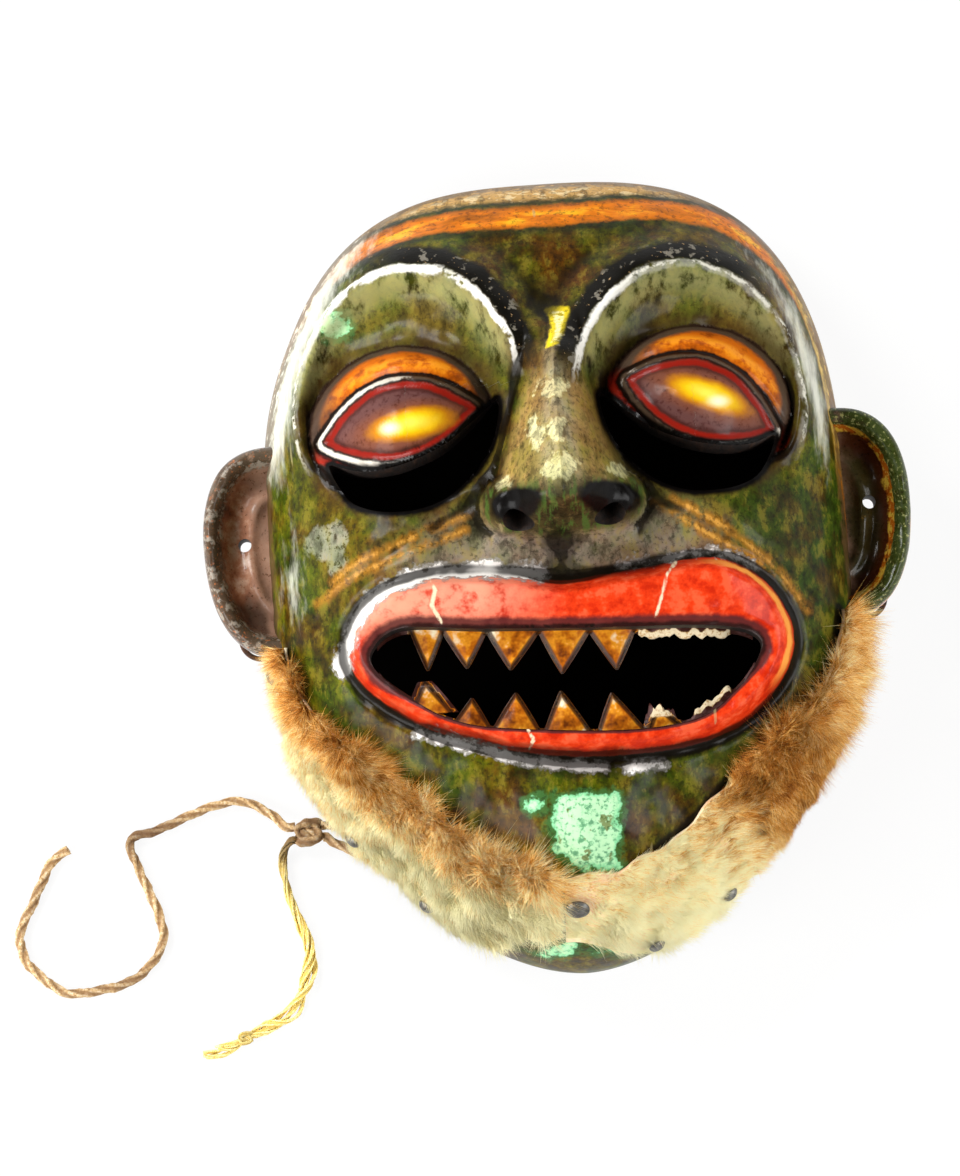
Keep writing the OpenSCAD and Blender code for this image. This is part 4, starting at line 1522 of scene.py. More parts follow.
        # Ovals of the painted glints on the irises.
        glint_ovals = ((-46, 38.6, 4.4, 2.6), (48.5, 40, 4.6, 2.4))
        upper, fade, shine = (np.zeros(x.shape) for _ in range(3))
        for side in Side:
            ix, iy, tilt = middles[side]
            slope = radians(tilt)
            along = cos(slope) * (x - ix) + sin(slope) * (y - iy)
            across = cos(slope) * (y - iy) - sin(slope) * (x - ix)
            near = side.value * x > 0
            almond = np.where(near, outline_distance(x, y, form.almond_loops[side]), almond)
            dome = np.where(near, (form.eyeball(x, y, side) - 1) * 25, dome)
            iris = np.where(near, (oval(along, across, 10, 3.6) - 1) * 3.6, iris)
            upper = np.where(near, smooth(-3, 3, across + 1), upper)
            fade = np.where(near, 1 - 0.85 * smooth(13, 25, np.abs(along)), fade)
            sheen = smooth(2, -4, across) * smooth(-6, 8, along)
            if side is Side.LEFT:
                sheen = smooth(6, -14, along)
            shine = np.where(near, 0.25 + 0.75 * sheen, shine)
        return {"spark": 0.8 * np.maximum(*[soft(oval(x - a, y - b, c, d)) for a, b, c, d in glint_ovals]),
                "almond": almond, "dome": dome, "iris": iris, "upper": upper * fade, "lower": 1 - upper,
                "shine": shine}

    def mouth_fields(self, x: Array, y: Array) -> dict[str, Array]:
        """Places the lips, their painted highlights and chipped edge, the cracks, and the dark openings.

        Args:
            x: Places across the face.
            y: Places up the face.

        Returns:
            One value a point under each name.
        """
        form = self.form
        lip = outline_distance(x, y, form.lip_loop)
        mouth = outline_distance(x, y, form.mouth_loop)
        mouth = np.where(mouth > 0, mouth * (1 + 2.2 * smooth(-34, -44, y)), mouth)
        # The upper left line is chipped gesso and painted highlight; the others are chipped gesso.
        upper_left = curve_through(
            ((-65, -28), (-61, -17), (-52, -8), (-38, -3.5), (-20, -3.5), (-6, -5.5)), 4)
        lower = curve_through(((-44, -48), (-30, -53), (-16, -57.5), (-4, -60.5), (8, -61.5)), 4)
        right = curve_through(((16, -4.5), (30, -3.5), (44, -2.5), (56, -7)), 4)
        gesso = np.minimum.reduce(
            [line_distance(x, y, upper_left) - 2.3, line_distance(x, y, lower) - 1.4,
             line_distance(x, y, right) - 0.8, blobs(x, y, (20, -62, 6, 2.2))])
        cracks = (((-37.6, -5), (-36, -9), (-37.5, -13), (-35, -18)),
                  ((33, -5), (30, -9), (28.5, -14), (26, -21)), ((-12.5, -50), (-11, -53), (-13, -56)))
        slits = [outline_distance(x, y, form.slit_loops[side]) for side in Side]
        # Painted shade round each nostril, wider than its hole.
        nostrils = blobs(x, y, (-11.5, 13.2, 5, 3), (15.5, 13.2, 6, 3))
        # A pale painted highlight lies on the upper left lip.
        return {"blush": smooth(4, -30, x) * smooth(-26, -12, y), "lip": lip - 0.7 * smooth(-40, -48, y),
                "mouth": mouth, "gesso": gesso, "right_edge": smooth(36, 52, x) * smooth(-44, -34, y),
                "crack": np.minimum.reduce([line_distance(x, y, np.array(c, dtype=float)) for c in cracks]),
                "dark": np.minimum.reduce([*slits, nostrils])}

    @staticmethod
    def crease_shade_fields(piece: Object, place: Array) -> dict[str, Array]:
        """Finds the narrow and the wide hollows, which get painted shade.

        Args:
            piece: The cut block.
            place: Its corners.

        Returns:
            One value a point under each name.
        """
        count = len(place)
        ends = np.empty(len(piece.data.edges) * 2, dtype=np.int64)
        piece.data.edges.foreach_get("vertices", ends)
        a, b = np.concatenate([ends[0::2], ends[1::2]]), np.concatenate([ends[1::2], ends[0::2]])
        weight = np.maximum(np.bincount(a, minlength=count), 1)
        eased = place.copy()
        flat = np.empty(count * 3)
        piece.data.vertex_normals.foreach_get("vector", flat)
        lifts = []
        for rounds in (14, 56):
            for _ in range(rounds):
                eased = np.stack(
                    [np.bincount(a, eased[b, k], minlength=count) / weight for k in range(3)], axis=1)
            lifts.append(np.sum((place - eased) * flat.reshape(-1, 3), axis=1))
        return {"hollow": np.clip(-lifts[0] / 0.35, 0, 3), "grime": np.clip(-lifts[1] / 0.8, 0, 3)}


@dataclass
class Ear:
    """One cupped ear with a rolled rim, held to the side of the head by dowels."""

    side: Side
    root_x: float = 82.0
    reach: float = 23.5
    middle_y: float = 11.0
    height: float = 63.0
    back_z: float = 16.0
    front_z: float = 34.0
    bowl: float = 9.5
    rim: float = 4.5
    hole_d: float = 4.0
    steps: int = 72

    def section(self) -> Array:
        """Gives the cut through the ear: distance in from the edge, and height.

        Returns:
            Rows of points.
        """
        low, high, floor = self.back_z, self.front_z, self.front_z - self.bowl
        return curve_through(
            ((self.reach, low), (14, low), (6, low + 0.1), (2.4, low + 0.9), (0.7, low + 3.4), (0, low + 8),
             (0.1, high - 3.4), (1.2, high - 0.6), (self.rim * 0.55, high), (self.rim * 0.95, high - 1.2),
             (self.rim + 1, high - 4.2), (7.4, floor + 1.5), (10.5, floor + 0.2), (14, floor + 1.8),
             (17, floor + 0.3), (self.reach, floor)), 4)

    def build(self) -> None:
        """Builds the ear and drills its hole."""
        cut = self.section()
        turn = np.linspace(0, pi, self.steps)
        inset, z = np.meshgrid(cut[:, 0], np.ones(self.steps))[0], np.tile(cut[:, 1], (self.steps, 1))
        arc = turn[:, None]
        flare = 1 + 0.05 * np.cos(arc)
        x = self.root_x + (self.reach - inset) * np.sin(arc) ** 0.72 * flare
        y = self.middle_y + (self.height / 2 - inset) * np.sign(np.cos(arc)) * np.abs(np.cos(arc)) ** 0.9
        rows = np.stack([x, y, z], axis=-1)
        wave = ripple(rows.reshape(-1, 3), 13, 61 + self.side.value).reshape(x.shape)
        rows[..., 2] += 0.5 * wave * np.sin(arc) ** 0.5
        n = len(cut)
        points = rows.reshape(-1, 3) * (self.side.value, 1, 1)
        number = np.arange(self.steps * n).reshape(self.steps, n)
        cap = [*number[0], *number[1:-1, -1], *number[-1, ::-1], *number[-2:0:-1, 0]]
        name = self.side.name.lower()
        piece = solid(f"{name}_cupped_ear", points, [*grid_faces(self.steps, n, False), cap])
        for finish in (EarPaint(), CUT_WOOD):
            finish.cover(piece)
        hole = (self.side.value * 93.6, self.middle_y + 3)
        carve(piece, [rod("ear_hole_tool", (*hole, 0), (*hole, 50), self.hole_d / 2)], cut_slot=1)
        piece.data.set_sharp_from_angle(angle=radians(42))
        self.dress(piece)
        hand_over(piece, "painted_wood", f"{name}_ear")

    def dress(self, piece: Object) -> None:
        """Stores for the paint how far each point lies from edge and root, its height and the lower bowl.

        Args:
            piece: The drilled ear.
        """
        place = corners(piece)
        x = np.clip((self.side.value * place[:, 0] - self.root_x) / self.reach, 0, 1.2)
        y = (place[:, 1] - self.middle_y) / (self.height / 2)
        set_fields(
            piece, edge=np.hypot(x ** 1.2, np.abs(y) ** 1.2), rise=place[:, 2] - self.back_z, root=x,
            low=smooth(-0.15, -0.75, y) * smooth(0.1, 0.4, x),
            side=np.full(len(place), 1.0 if self.side is Side.RIGHT else 0.0))


@dataclass(frozen=True)
class Tooth:
    """One tooth: its tip, and where its base starts and ends across the mouth."""

    tip: Point
    base: tuple[float, float]
    blunt: float = 0.35
    raw: bool = False


@dataclass
class ToothStrip:
    """A strip of wooden teeth let in behind one lip, broken at its right end."""

    form: CarvedForm
    upper: bool
    thick: float = 3.0
    tuck: float = 4.6
    sunk: float = 0.6
    spread: float = 0.9

    def teeth(self) -> tuple[Tooth, ...]:
        """Lists the teeth as carved and as broken.

        Returns:
            The teeth from left to right.
        """
        if self.upper:
            return (Tooth((-40.2, -30.4), (-43.8, -35.2)), Tooth((-28.8, -30.7), (-34.4, -23)),
                    Tooth((-16.3, -32.1), (-21.6, -7.6)), Tooth((-1.6, -34.2), (-6.8, 6.8)),
                    Tooth((14.1, -34.1), (7.6, 19.6)))
        return (Tooth((-41.3, -33.4), (-45, -35), 2), Tooth((-28, -39.3), (-34, -24.4)),
                Tooth((-15.3, -38.7), (-22.6, -10)), Tooth((-2.4, -39.1), (-7.4, 4.8)),
                Tooth((12.1, -40.6), (8, 20.8)), Tooth((25, -45.4), (23, 31), 2.2, True))

    def broken(self, x: Array) -> Array:
        """Gives 1 where the teeth broke off across the mouth and left a raw edge."""
        start, end = (21, 47.5) if self.upper else (35.5, 46.5)
        return smooth(start - 1, start + 1, x) * smooth(end + 1, end - 1, x)

    def gum_edge(self, x: Array) -> Array:
        """Gives the free edge of the strip, ragged where it is broken.

        Args:
            x: Places across the mouth.

        Returns:
            Places up the face.
        """
        along = np.column_stack([x, np.zeros(x.shape)])
        jag = 0.5 * ripple(along, 6, 71) + 0.4 * ripple(along, 2.1, 72)
        height = (1.5 if self.upper else 2.8) + 0.7 * jag
        out = -1 if self.upper else 1
        return self.form.mouth_edge(x, self.upper) + out * (0.9 + self.broken(x) * height)

    def build(self) -> None:
        """Builds the strip and joins its teeth."""
        out = -1 if self.upper else 1
        name = "upper_tooth_strip" if self.upper else "lower_tooth_strip"
        x = np.linspace(-54.5, 54, 150)
        share = np.linspace(0, 1, 9)
        free = self.gum_edge(x)
        tucked = self.form.mouth_edge(x, self.upper, self.tuck)
        xs, ss = np.meshgrid(x, share, indexing="ij")
        ys = free[:, None] + (tucked - free)[:, None] * ss
        front = np.stack([xs, ys, self.form.strip_front(xs) - 0.05 - 0.6 * smooth(0.2, 0, ss)], axis=-1)
        back = np.stack([xs, ys, self.form.strip_front(xs) - self.thick], axis=-1)
        piece = solid(name, *slab(front, back))
        ToothPaint().cover(piece)
        carve(piece, [self.tooth(tooth, out) for tooth in self.teeth()], "UNION")
        piece.data.set_sharp_from_angle(angle=radians(50))
        self.dress(piece, out)
        hand_over(piece, "tooth_wood", "upper_teeth" if self.upper else "lower_teeth")

    def root(self, tooth: Tooth, out: float) -> float:
        """Gives the height of a tooth's base, sunk a little behind the lip."""
        return self.form.mouth_edge(np.array([sum(tooth.base) / 2]), self.upper)[0] - out * self.sunk

    def tooth(self, tooth: Tooth, out: float) -> Object:
        """Cuts one tooth as a bevelled wedge with a raised face.

        Args:
            tooth: Its tip and base.
            out: The way that it points, 1 up and -1 down.

        Returns:
            The closed mesh.
        """
        left, right = tooth.base
        run, across = np.meshgrid(np.linspace(0, 1, 22), np.linspace(-1, 1, 17), indexing="ij")
        centre = (left + right) / 2
        middle = centre + (tooth.tip[0] - centre) * run
        half = ((right - left) / 2 + self.spread) * (1 - run) ** 0.92 + tooth.blunt
        x = middle + half * across
        base = self.root(tooth, out)
        y = base + (tooth.tip[1] - base) * run
        if tooth.raw:
            y = y + out * 0.9 * ripple(np.column_stack([x.ravel(), y.ravel()]), 3, 73).reshape(x.shape) * run
        inward = np.minimum(half * (1 - np.abs(across)), np.abs(tooth.tip[1] - y) + 0.2)
        face = self.form.strip_front(x) - 0.9 + 0.95 * smooth(0, 1.7, inward) + 0.6 * smooth(1.5, 5, inward)
        front = np.stack([x, y, face], axis=-1)
        back = np.stack(
            [x, y, np.minimum(self.form.strip_front(x) - self.thick + 0.15 + 0.9 * run, face - 0.4)], -1)
        return solid("tooth_tool", *slab(front, back))

    def dress(self, piece: Object, out: float) -> None:
        """Stores for the paint where edges, gums and raw breaks are.

        Args:
            piece: The strip with its teeth.
            out: The way that they point, 1 up and -1 down.
        """
        place = corners(piece)
        x, y = place[:, 0], place[:, 1]
        edge, inside, raw = np.zeros(x.shape), np.zeros(x.shape, dtype=bool), np.zeros(x.shape)
        for tooth in self.teeth():
            left, right = tooth.base
            base = self.root(tooth, out)
            loop = np.array([(left - self.spread, base), tooth.tip, (right + self.spread, base)])
            gap = outline_distance(x, y, loop)
            within = gap < 0.9
            inside |= within
            rim = line_distance(x, y, loop)
            edge = np.maximum(edge, np.where(within, np.clip(1 - rim / 2.2, 0, 1), 0))
            raw = np.maximum(raw, np.where(within & tooth.raw, smooth(4.5, 1.5, np.abs(y - tooth.tip[1])), 0))
        free = self.gum_edge(x)
        torn = self.broken(x) * smooth(2.4, 1.2, np.abs(y - free))
        set_fields(piece, edge=edge, gum=np.where(inside, 0, 1), raw=np.maximum(raw, torn))


@dataclass
class BeardHide:
    """A strip of furry hide tacked along one side of the jaw."""

    form: CarvedForm
    side: Side
    start: float = -13.0
    end: float = -93.0
    seat: float = 0.4
    skin: float = 0.9
    hairs: int = 60000
    flat: tuple[float, float] = (0.040, 0.120)
    tack_places: tuple[tuple[float, float], ...] = ()

    def edges(self, u: Array) -> tuple[Array, Array]:
        """Gives the inner and outer edge of the strip from the ear to the chin."""
        inner = np.where(u < 0.5, 0.74 - 0.17 * smooth(0, 0.5, u), 0.57 - 0.015 * (2 * u - 1))
        return inner, 0.915 - 0.185 * smooth(0.78, 1, u)

    def inner_line(self) -> Array:
        """Gives the line on the face along which the strip's inner edge lies, seen from the front.

        Returns:
            Rows of points.
        """
        u = np.linspace(0, 0.9, 30)
        turn = np.radians(self.start + (self.end - self.start) * u)
        return self.form.front(turn, self.edges(u)[0])[:, :2] * (self.side.value, 1)

    def grid(self, rows: int, columns: int, height: float) -> tuple[Array, Array, Array, Array]:
        """Gives the strip's points, directions out of it, and the place along and across it.

        Args:
            rows: Points along the strip.
            columns: Points across it.
            height: How far over the face.

        Returns:
            Four grids.
        """
        u, v = np.meshgrid(np.linspace(0, 1, rows), np.linspace(0, 1, columns), indexing="ij")
        inner, outer = self.edges(u)
        wander = 0.008 * ripple(np.column_stack([9 * u.ravel(), 0 * v.ravel()]), 1.1, 81).reshape(u.shape)
        part = inner + (outer - inner) * v + wander * np.abs(2 * v - 1)
        turn = np.radians(self.start + (self.end - self.start) * u)
        place, out = self.form.above(turn, part, np.full(u.shape, height))
        flip = np.array((self.side.value, 1.0, 1.0))
        return place * flip, out * flip, u, v

    def build(self) -> None:
        """Builds the skin and plants its fur."""
        name = self.side.name.lower()
        low = self.grid(60, 16, self.seat)[0]
        high, out, u, v = self.grid(60, 16, self.seat + self.skin)
        skin = solid(f"{name}_beard_skin", *slab(high, low))
        BareHide().cover(skin)
        furs = []
        for part, (a, b) in enumerate(((0, 31), (30, 60))):
            bed = self.bed(high[a:b], out[a:b], u[a:b], v[a:b])
            furs.append(self.plant(f"{name}_beard_fur_{part + 1}", bed, part))
        hand_over(skin, "furry_hide", f"{name}_beard_hide")
        for fur in furs:
            hand_over(fur, "furry_hide")

    def bed(self, place: Array, out: Array, u: Array, v: Array) -> Object:
        """Makes the surface that hairs grow from, with their direction, tone and thickness of growth.

        Args:
            place: Grid of points.
            out: Directions out of them.
            u: Places along the strip.
            v: Places across it.

        Returns:
            The surface.
        """
        rows, columns = u.shape
        piece = mesh_object("fur_bed", place.reshape(-1, 3), grid_faces(rows, columns, False))
        along, across = (unit(np.gradient(place, axis=axis)) for axis in (0, 1))
        flow, tone, growth, length = self.coat(u, v, along, across, out)
        for name, values in (("flow", unit(flow)), ("up", out)):
            layer = piece.data.attributes.new(name, "FLOAT_VECTOR", "POINT")
            layer.data.foreach_set("vector", np.ascontiguousarray(values.reshape(-1), dtype=np.float32))
        for spot_turn, spot_part in self.tack_places:
            spot, _ = self.form.above(np.array([radians(spot_turn)]), np.array([spot_part]), np.zeros(1))
            gap = np.linalg.norm(place - spot[0] * (self.side.value, 1, 1), axis=-1)
            if spot_part < 0.7:
                growth = growth * smooth(3, 10, gap)
                length = length * (0.45 + 0.55 * smooth(6, 16, gap))
        set_fields(piece, tone=tone, growth=growth, length=length)
        return piece

    def coat(self, u: Array, v: Array, along: Array, across: Array, out: Array
             ) -> tuple[Array, Array, Array, Array]:
        """Combs the fur: gives its direction, tone, growth and length over the strip.

        Args:
            u: Places along the strip.
            v: Places across it.
            along: Directions along it.
            across: Directions across it.
            out: Directions out of it.

        Returns:
            A grid for each of the four.
        """
        fringe = smooth(0.5, 0, v)
        chin = smooth(0.74, 0.92, u)
        bare = smooth(0.62, 0.95, v)
        if self.side is Side.LEFT:
            weights = (0.8 - 0.4 * fringe, 0.1 - 0.9 * fringe, 0.2 + 0.4 * fringe)
            tone = 0.42 + 0.4 * smooth(0.12, 0.5, v) + 0.16 * smooth(0.3, 0.8, u) - 0.04 * smooth(0.3, 0, u)
            growth = 1 - 0.25 * bare
            length = 0.45 + 0.6 * fringe + 0.3 * chin
        else:
            upper = smooth(0.66, 0.4, u)
            lower = 1 - upper
            outer = smooth(0.3, 0.85, v)
            weights = (upper * (0.35 + 0.5 * outer) - 0.9 * lower,
                       upper * (0.1 - 1.5 * fringe) + (0.1 - 0.3 * fringe) * lower,
                       upper * (0.75 - 0.65 * outer) + 0.2 * lower)
            tone = 0.48 + 0.42 * smooth(0.48, 0.74, u)
            tone = tone + 0.1 * smooth(0.3, 0.9, v) * lower - 0.1 * fringe * lower
            tone = tone + 0.1 * bell(u, 0.12, 0.15) - 0.14 * bell(u, 0.42, 0.12)
            growth = 1 - bare * lower * 0.3
            length = 0.55 + upper * (0.65 - 0.95 * outer) - 0.2 * fringe * lower
        flow = sum(weight[..., None] * way for weight, way in zip(weights, (along, across, out)))
        return flow, tone, growth * (1 - 0.4 * chin * smooth(0.5, 0.85, v)), length

    @staticmethod
    def hair() -> Object:
        """Makes one tapered hair of unit length, a slim cone that is thicker than a real hair, to show.

        Returns:
            The hair.
        """
        turn = np.radians((90, 210, 330))
        root = np.column_stack([0.0085 * np.cos(turn), 0.0085 * np.sin(turn), np.zeros(3)])
        points = np.vstack([root, [(0, 0, 1)]])
        piece = mesh_object("hair_shape", points / MM, [(0, 1, 3), (1, 2, 3), (2, 0, 3)])
        set_fields(piece, along=np.array((0.0, 0.0, 0.0, 1.0)))
        return piece

    def plant(self, name: str, bed: Object, seed: int) -> Object:
        """Grows fur on a bed and makes it a plain mesh.

        Args:
            name: Its name.
            bed: The surface with its fields.
            seed: Fixes where hairs grow.

        Returns:
            The fur.
        """
        hair = self.hair()
        step = bed.modifiers.new("fur", "NODES")
        step.node_group = self.fur_tree(hair)
        inputs = {item.name: item.identifier for item in step.node_group.interface.items_tree
                  if item.item_type == "SOCKET" and item.in_out == "INPUT"}
        area = sum(polygon.area for polygon in bed.data.polygons)
        step[inputs["Density"]] = self.hairs / area
        step[inputs["Longest"]] = 0.0125
        step[inputs["Unruly"]] = 0.55
        step[inputs["Seed"]] = 7 + seed + (10 if self.side is Side.RIGHT else 0)
        bake_modifiers(bed)
        bed.name = name
        bed.data.name = name
        bpy.data.objects.remove(hair)
        return bed

    @staticmethod
    def fur_tree(hair: Object) -> bpy.types.NodeTree:
        """Builds the node tree that sets one hair on each of many seeded points.

        Args:
            hair: The shape of one hair.

        Returns:
            The tree, with the inputs Density, Longest, Unruly and Seed.
        """
        tree = bpy.data.node_groups.new("beard_fur", "GeometryNodeTree")
        sockets = (("Geometry", "NodeSocketGeometry"), ("Density", "NodeSocketFloat"),
                   ("Longest", "NodeSocketFloat"), ("Unruly", "NodeSocketFloat"), ("Seed", "NodeSocketInt"))
        for title, kind in sockets:
            tree.interface.new_socket(title, in_out="INPUT", socket_type=kind)
        tree.interface.new_socket("Geometry", in_out="OUTPUT", socket_type="NodeSocketGeometry")
        put = partial(add, tree)
        start = put("NodeGroupInput").outputs
        read = {title: put("GeometryNodeInputNamedAttribute", {0: title}, data_type=kind).outputs[0]
                for title, kind in (("flow", "FLOAT_VECTOR"), ("up", "FLOAT_VECTOR"), ("growth", "FLOAT"),
                                    ("length", "FLOAT"))}
        spread = put("GeometryNodeDistributePointsOnFaces",
                     {"Mesh": start["Geometry"], "Density": start["Density"], "Seed": start["Seed"]})
        lucky = put("FunctionNodeRandomValue", {"Seed": start["Seed"]}, data_type="FLOAT").outputs[1]
        thin = put("FunctionNodeCompare", {0: lucky, 1: read["growth"]}, data_type="FLOAT",
                   operation="GREATER_THAN")
        kept = put("GeometryNodeDeleteGeometry", {0: spread.outputs["Points"], 1: thin}, domain="POINT")
        stray = put("FunctionNodeRandomValue", {0: (-1, -1, -1), 1: (1, 1, 1), "Seed": 3},
                    data_type="FLOAT_VECTOR").outputs[0]
        tuft = put("ShaderNodeTexNoise", {"Scale": 120, "Detail": 2}).outputs[1]
        centred = put("ShaderNodeVectorMath", {0: tuft, 1: (0.5, 0.5, 0.5)}, operation="SUBTRACT")
        clump = put("ShaderNodeVectorMath", {0: centred, 1: (3.6, 3.6, 3.6), 2: read["flow"]},
                    operation="MULTIPLY_ADD")
        loose = put("ShaderNodeVectorMath", {0: stray, "Scale": start["Unruly"]}, operation="SCALE")
        way = put("ShaderNodeVectorMath", {0: clump, 1: loose}, operation="ADD")
        aim = put("FunctionNodeAlignRotationToVector", {"Vector": way}, axis="Z")
        roll = put("FunctionNodeAlignRotationToVector", {"Rotation": aim, "Vector": read["up"]},
                   axis="X", pivot_axis="Z")
        own = put("FunctionNodeRandomValue", {2: 0.4, 3: 1, "Seed": 5}, data_type="FLOAT").outputs[1]
        share = put("ShaderNodeMath", {0: own, 1: read["length"]}, operation="MULTIPLY")
        long = put("ShaderNodeMath", {0: share, 1: start["Longest"]}, operation="MULTIPLY")
        girth = put("ShaderNodeMath", {0: start["Longest"], 1: 0.8}, operation="MULTIPLY")
        size = put("ShaderNodeCombineXYZ", {0: girth, 1: girth, 2: long})
        shade = put("FunctionNodeRandomValue", {2: 0, 3: 1, "Seed": 9}, data_type="FLOAT").outputs[1]
        marked = put("GeometryNodeStoreNamedAttribute", {0: kept, "Name": "shade", "Value": shade},
                     data_type="FLOAT", domain="POINT")
        shape = put("GeometryNodeObjectInfo", {0: hair}).outputs["Geometry"]
        planted = put("GeometryNodeInstanceOnPoints",
                      {"Points": marked, "Instance": shape, "Rotation": roll, "Scale": size})
        real = put("GeometryNodeRealizeInstances", {0: planted})
        dyed = put("GeometryNodeSetMaterial", {0: real, "Material": Fur().material()})
        put("NodeGroupOutput", {0: dyed})
        return tree


@dataclass
class TieCords:
    """The tie cord: a loop through two jaw holes, its knot and two tails on the table."""

    cord_d: float = 3.0
    frayed_d: float = 2.6
    knot_d: float = 7.6
    knot_l: float = 8.0
    wall: float = 9.0
    holes: tuple[Place, ...] = ((-71.727, -70.486, 8.5), (-63.644, -80.012, 8.5))
    knot_at: Place = (-85.227, -71.986, 3.8)
    lay_pitch: float = 7.5
    long_turns: tuple[Point, ...] = (
        (0, 0), (-3, 0.5), (-8, 5), (-16, 9), (-25, 8), (-34, 5), (-42, 2), (-49, 0.5), (-50.5, -2),
        (-49, -7), (-46, -15), (-43, -23), (-42, -31), (-46, -38), (-53, -43), (-63, -45), (-72, -45),
        (-79, -40), (-84, -34), (-85, -26), (-81, -18), (-77, -10), (-74, -5), (-69, -2))
    frayed_turns: tuple[Point, ...] = (
        (0, 0), (-2, -0.5), (-4.5, -5), (-4, -13), (-2, -21), (1, -29), (2, -36), (0, -44), (-4, -51),
        (-10, -55), (-18, -58), (-25, -61), (-32, -62))

    def laid(self, turns: Sequence[Point], side: float, diameter: float) -> Array:
        """Lays a tail from the knot along the table.

        Args:
            turns: Places along the tail, from its start.
            side: How far beside the knot's middle it starts.
            diameter: Its thickness.

        Returns:
            Rows of points.
        """
        x, y, z = self.knot_at
        low = diameter / 2 + 0.1
        rows = []
        for i, (a, b) in enumerate(turns):
            rows.append((x + a, y + side + b, z if i < 2 else low + (self.knot_d / 2 - low) * 0.45 ** i))
        return np.array(rows)

    def loop_route(self) -> Array:
        """Gives the loop's points: from the knot through both holes and back.

        Returns:
            Rows of points.
        """
        knot, (a, b) = np.array(self.knot_at), np.array(self.holes)
        inward = np.array((1.0, 0.0, 0.0))
        strand, end, wall = 0.25 * self.knot_d, self.knot_l, self.wall
        return np.array(
            [knot + (end, strand, 0), knot + (end + 2, strand, 0.6), a - 1.5 * inward, a + 2 * inward,
             a + wall * inward, a + (wall + 12) * inward + (0, 0.4, 0), a + (wall + 19) * inward + (0, 2, 0),
             (a + b) / 2 + (wall + 21) * inward, b + (wall + 12) * inward + (0, -0.2, 0),
             b + (wall + 4) * inward, b + wall * inward, b + 2 * inward, b - 1.5 * inward,
             knot + (end + 4, -strand - 2, 0.4), knot + (end + 1.5, -strand, 0), knot + (end, -strand, 0)])

    @staticmethod
    def evened(route: Array, step: float) -> Array:
        """Runs a smooth line through a route in even steps.

        Args:
            route: Rows of points.
            step: About how far apart points are.

        Returns:
            Rows of points.
        """
        line = curve_through(route, 12)
        run = np.concatenate([[0], np.cumsum(np.linalg.norm(np.diff(line, axis=0), axis=1))])
        count = max(int(run[-1] / step), 8)
        even = np.linspace(0, run[-1], count + 1)
        return np.stack([np.interp(even, run, line[:, k]) for k in range(3)], axis=1)

    @staticmethod
    def frames(line: Array, closed: bool = False) -> tuple[Array, Array]:
        """Gives two directions across each point of a line, without needless twist.

        Args:
            line: Rows of points.
            closed: Whether the line returns.

        Returns:
            Rows of each direction.
        """
        if closed:
            along = np.roll(line, -1, axis=0) - np.roll(line, 1, axis=0)
        else:
            along = np.gradient(line, axis=0)
        along = unit(along)
        side = np.cross(along[0], (0.1, 0.2, 1))
        sides = []
        for way in along:
            side = unit(side - way * np.dot(side, way))
            sides.append(side)
        first = np.array(sides)
        return first, np.cross(along, first)

    def strand_tube(self, line: Array, radius: float, plies: int, seed: int, closed: bool = False) -> Skin:
        """Winds plies about a line into one skin.

        Args:
            line: Middle line in even steps.
            radius: Outer radius.
            plies: Count of strands.
            seed: Fixes the unevenness.
            closed: Whether the line returns.

        Returns:
            Points, faces, and how deep each point lies between the plies.
        """
        first, second = self.frames(line, closed)
        steps = np.linalg.norm(np.diff(line, axis=0), axis=1).mean()
        sides = 8 * plies
        turn = np.linspace(0, 2 * pi, sides, endpoint=False)
        place = np.arange(len(line))[:, None] * steps
        phase = turn[None, :] * plies - 2 * pi * place / self.lay_pitch * plies / 3
        bend = (phase + pi) % (2 * pi) - pi
        local = bend / plies
        off, own = 0.48 * radius, 0.52 * radius
        reach = off * np.cos(local) + np.sqrt(np.clip(own ** 2 - (off * np.sin(local)) ** 2, 0.02, None))
        rough = ripple(np.column_stack([place.ravel(), np.zeros(len(line))]), 2.6, seed)[:, None]
        reach = reach * (1 + 0.05 * rough)
        across = np.cos(turn)[:, None] * first[:, None] + np.sin(turn)[:, None] * second[:, None]
        skin = line[:, None] + reach[..., None] * across
        count = len(line)
        if closed:
            faces = grid_faces(count + 1, sides, True) % (count * sides)
        else:
            faces = [*grid_faces(count, sides, True), range(sides), range((count - 1) * sides, count * sides)]
        return skin.reshape(-1, 3), faces, np.abs(bend).ravel() / pi

    def cord_piece(self, name: str, parts: Sequence[Skin], stain: Array, finish: Finish) -> Object:
        """Makes one piece of strand skins.

        Args:
            name: Its name.
            parts: Points, faces and depths of each strand.
            stain: How soiled each point is.
            finish: Its material.

        Returns:
            The piece.
        """
        points, faces, start = [], [], 0
        for skin, quads, _ in parts:
            points.append(skin)
            faces.extend([[int(v) + start for v in face] for face in quads])
            start += len(skin)
        piece = solid(name, np.vstack(points), faces)
        set_fields(piece, groove=np.concatenate([groove for _, _, groove in parts]), stain=stain)
        finish.cover(piece)
        return piece

